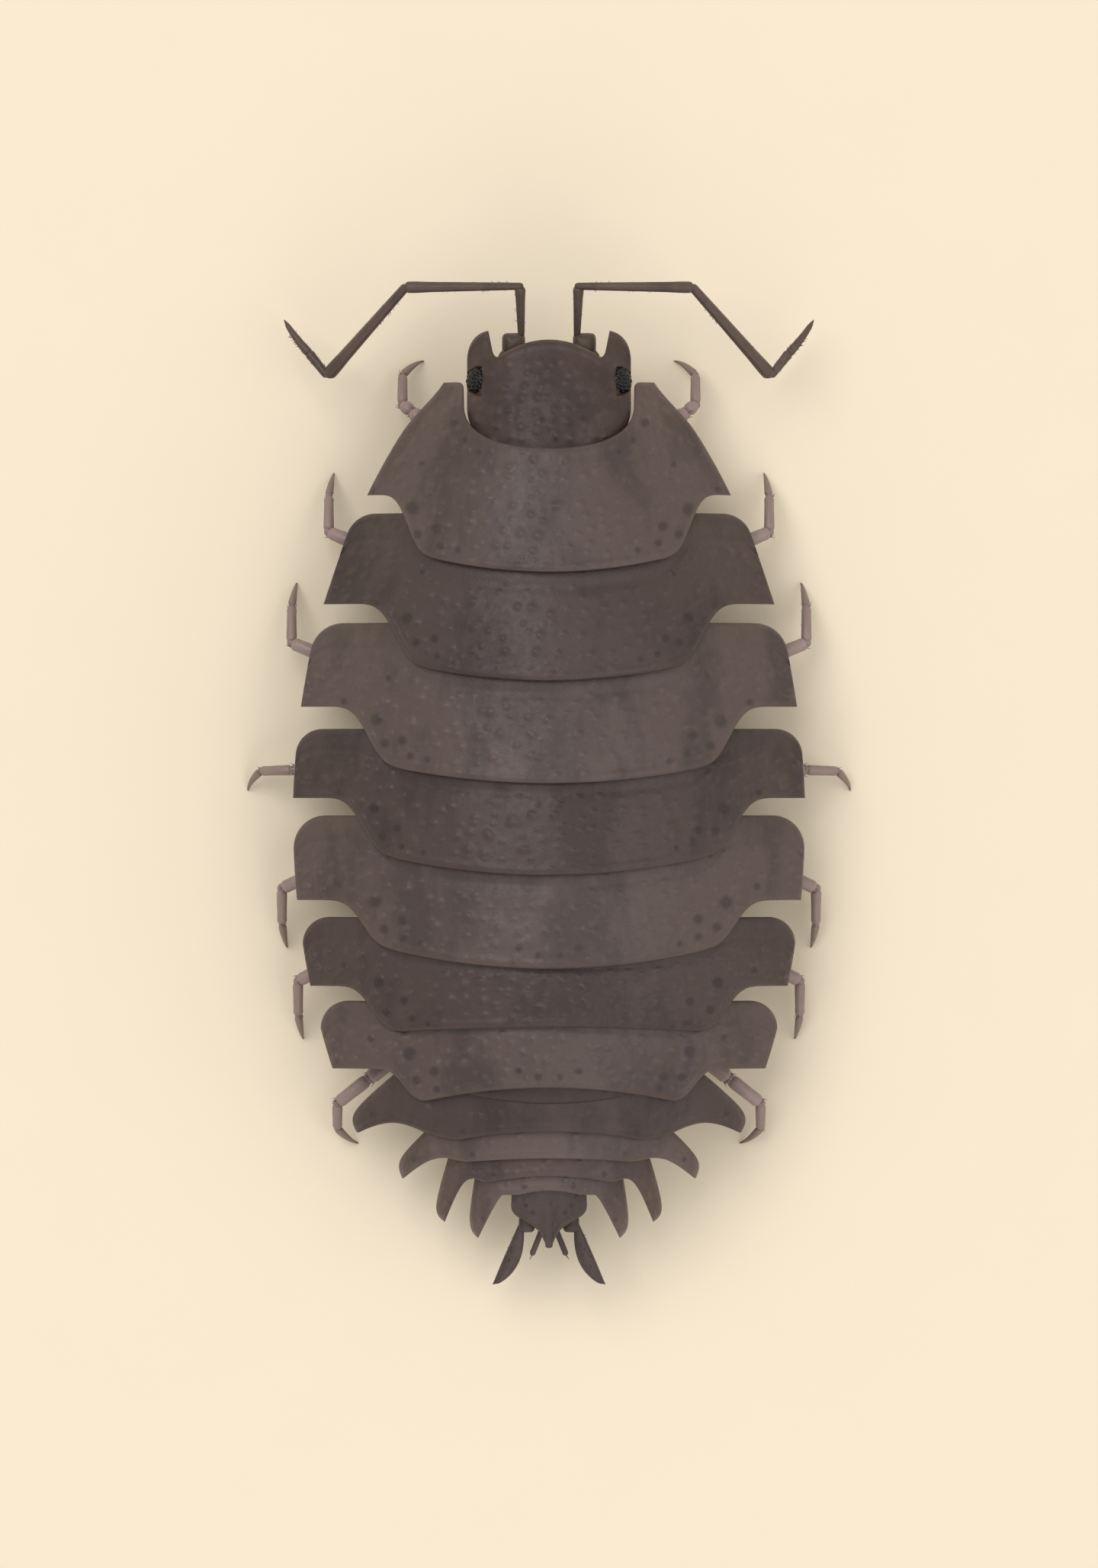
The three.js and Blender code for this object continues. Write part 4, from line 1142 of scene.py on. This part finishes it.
def uropod_parts(side):
    """A base under the tail plate, a blade with a straight outer edge and a thin inner rod."""
    t = np.linspace(0, 1, 40)
    width = 0.03 + 0.25 * np.sin(np.pi * t ** 1.25) ** 0.8
    width = np.maximum(width * np.sqrt(np.clip((1 - t) / 0.06, 0, 1)), 0.008)
    along, half = t[:, None], width[:, None] / 2
    outer = np.array((0.5, -8.02, 1.5)) + np.array((0.55, -1.26, -0.38)) * along
    path = to_side(side, outer - np.array((0.92, 0.4, 0)) * half + 0.05 * UP * (along * (1 - along)))
    blade = tube(path, width / 2, 20, flat=0.6, ridges=4, ridge=0.05, marks=dict(knob=0.1))
    base = article(to_side(side, (0.3, -7.7, 1.5)), to_side(side, (0.4, -8.2, 1.47)), 0.17, 0.16, flat=0.75)
    block = on_side(side, (0.41, -8.13, 1.48), (0.15, 0.18, 0.13), rows=24, columns=32, power=0.5)
    # The rod bends out from under the tail plate, then runs straight to a blunt tip.
    rod_root = bend((0.3, -7.8, 1.52), (0.03, -8.0, 1.46), (0.115, -8.22, 1.42), 1.2, 16)
    rod_straight = np.linspace((0.115, -8.22, 1.42), (0.325, -8.75, 1.28), 24)
    rod_path = to_side(side, join_stretches(rod_root, rod_straight))
    rod_share = np.linspace(0, 1, len(rod_path))
    rod = tube(rod_path, 0.054 * np.sqrt(np.clip((1 - rod_share) / 0.05, 0.02, 1)), 14, marks=dict(knob=0.6))
    fan = rng.uniform(-0.3, 0.3, (5, 3))
    tip_way = rod_path[-1] - rod_path[-6]
    tuft = spines(np.repeat(rod_path[-1:], 5, 0), tip_way * 5 + fan, rng.uniform(0.06, 0.12, 5), 0.007)
    hairs = bristles(path[8], path[28], 0.1, 40, 0.05)
    return [blade, base, block, rod, tuft, hairs]


for label, side in SIDES:
    new_piece(f"tail_blade_{label}", uropod_parts(side), uropod_shell_painted_light, [f"uropod_{label}"])


# Floor, light and camera

bpy.ops.mesh.primitive_circle_add(vertices=96, radius=FLOOR_RADIUS_M, fill_type="NGON", location=(0, 0, 0))
floor = bpy.context.object
floor.name = "floor"
floor.data.materials.append(floor_material())


def sun(name, direction, energy, angle):
    data = bpy.data.lights.new(name, "SUN")
    data.energy, data.angle = energy, angle
    lamp = bpy.data.objects.new(name, data)
    lamp.rotation_euler = Vector(direction).to_track_quat("Z", "Y").to_euler()
    bpy.context.scene.collection.objects.link(lamp)


# Soft studio light: where each sun stands, its strength, and its width in radians.
sun("key", (-0.5, 0.6, 1.2), 1.38, 0.8)
sun("fill", (0.9, -0.1, 1.0), 0.78, 1.0)
sun("back", (0.1, -1.0, 0.7), 0.48, 0.7)

world = bpy.data.worlds.new("studio")
world.use_nodes = True
background = {"Color": (*linear((0.96, 0.955, 0.95)), 1), "Strength": 0.5}
fill_in(world.node_tree, world.node_tree.nodes["Background"], background)
bpy.context.scene.world = world
bpy.context.scene.view_settings.view_transform = "Standard"

camera_data = bpy.data.cameras.new("camera")
camera_data.sensor_width = SENSOR
camera_data.lens = SENSOR * CAMERA_DISTANCE / PICTURE_HEIGHT
camera_data.clip_start, camera_data.clip_end = 0.01, 10
camera = bpy.data.objects.new("camera", camera_data)
camera.location = (0, 0, (CAMERA_DISTANCE + MID_HEIGHT) * MM)
bpy.context.scene.collection.objects.link(camera)
bpy.context.scene.camera = camera
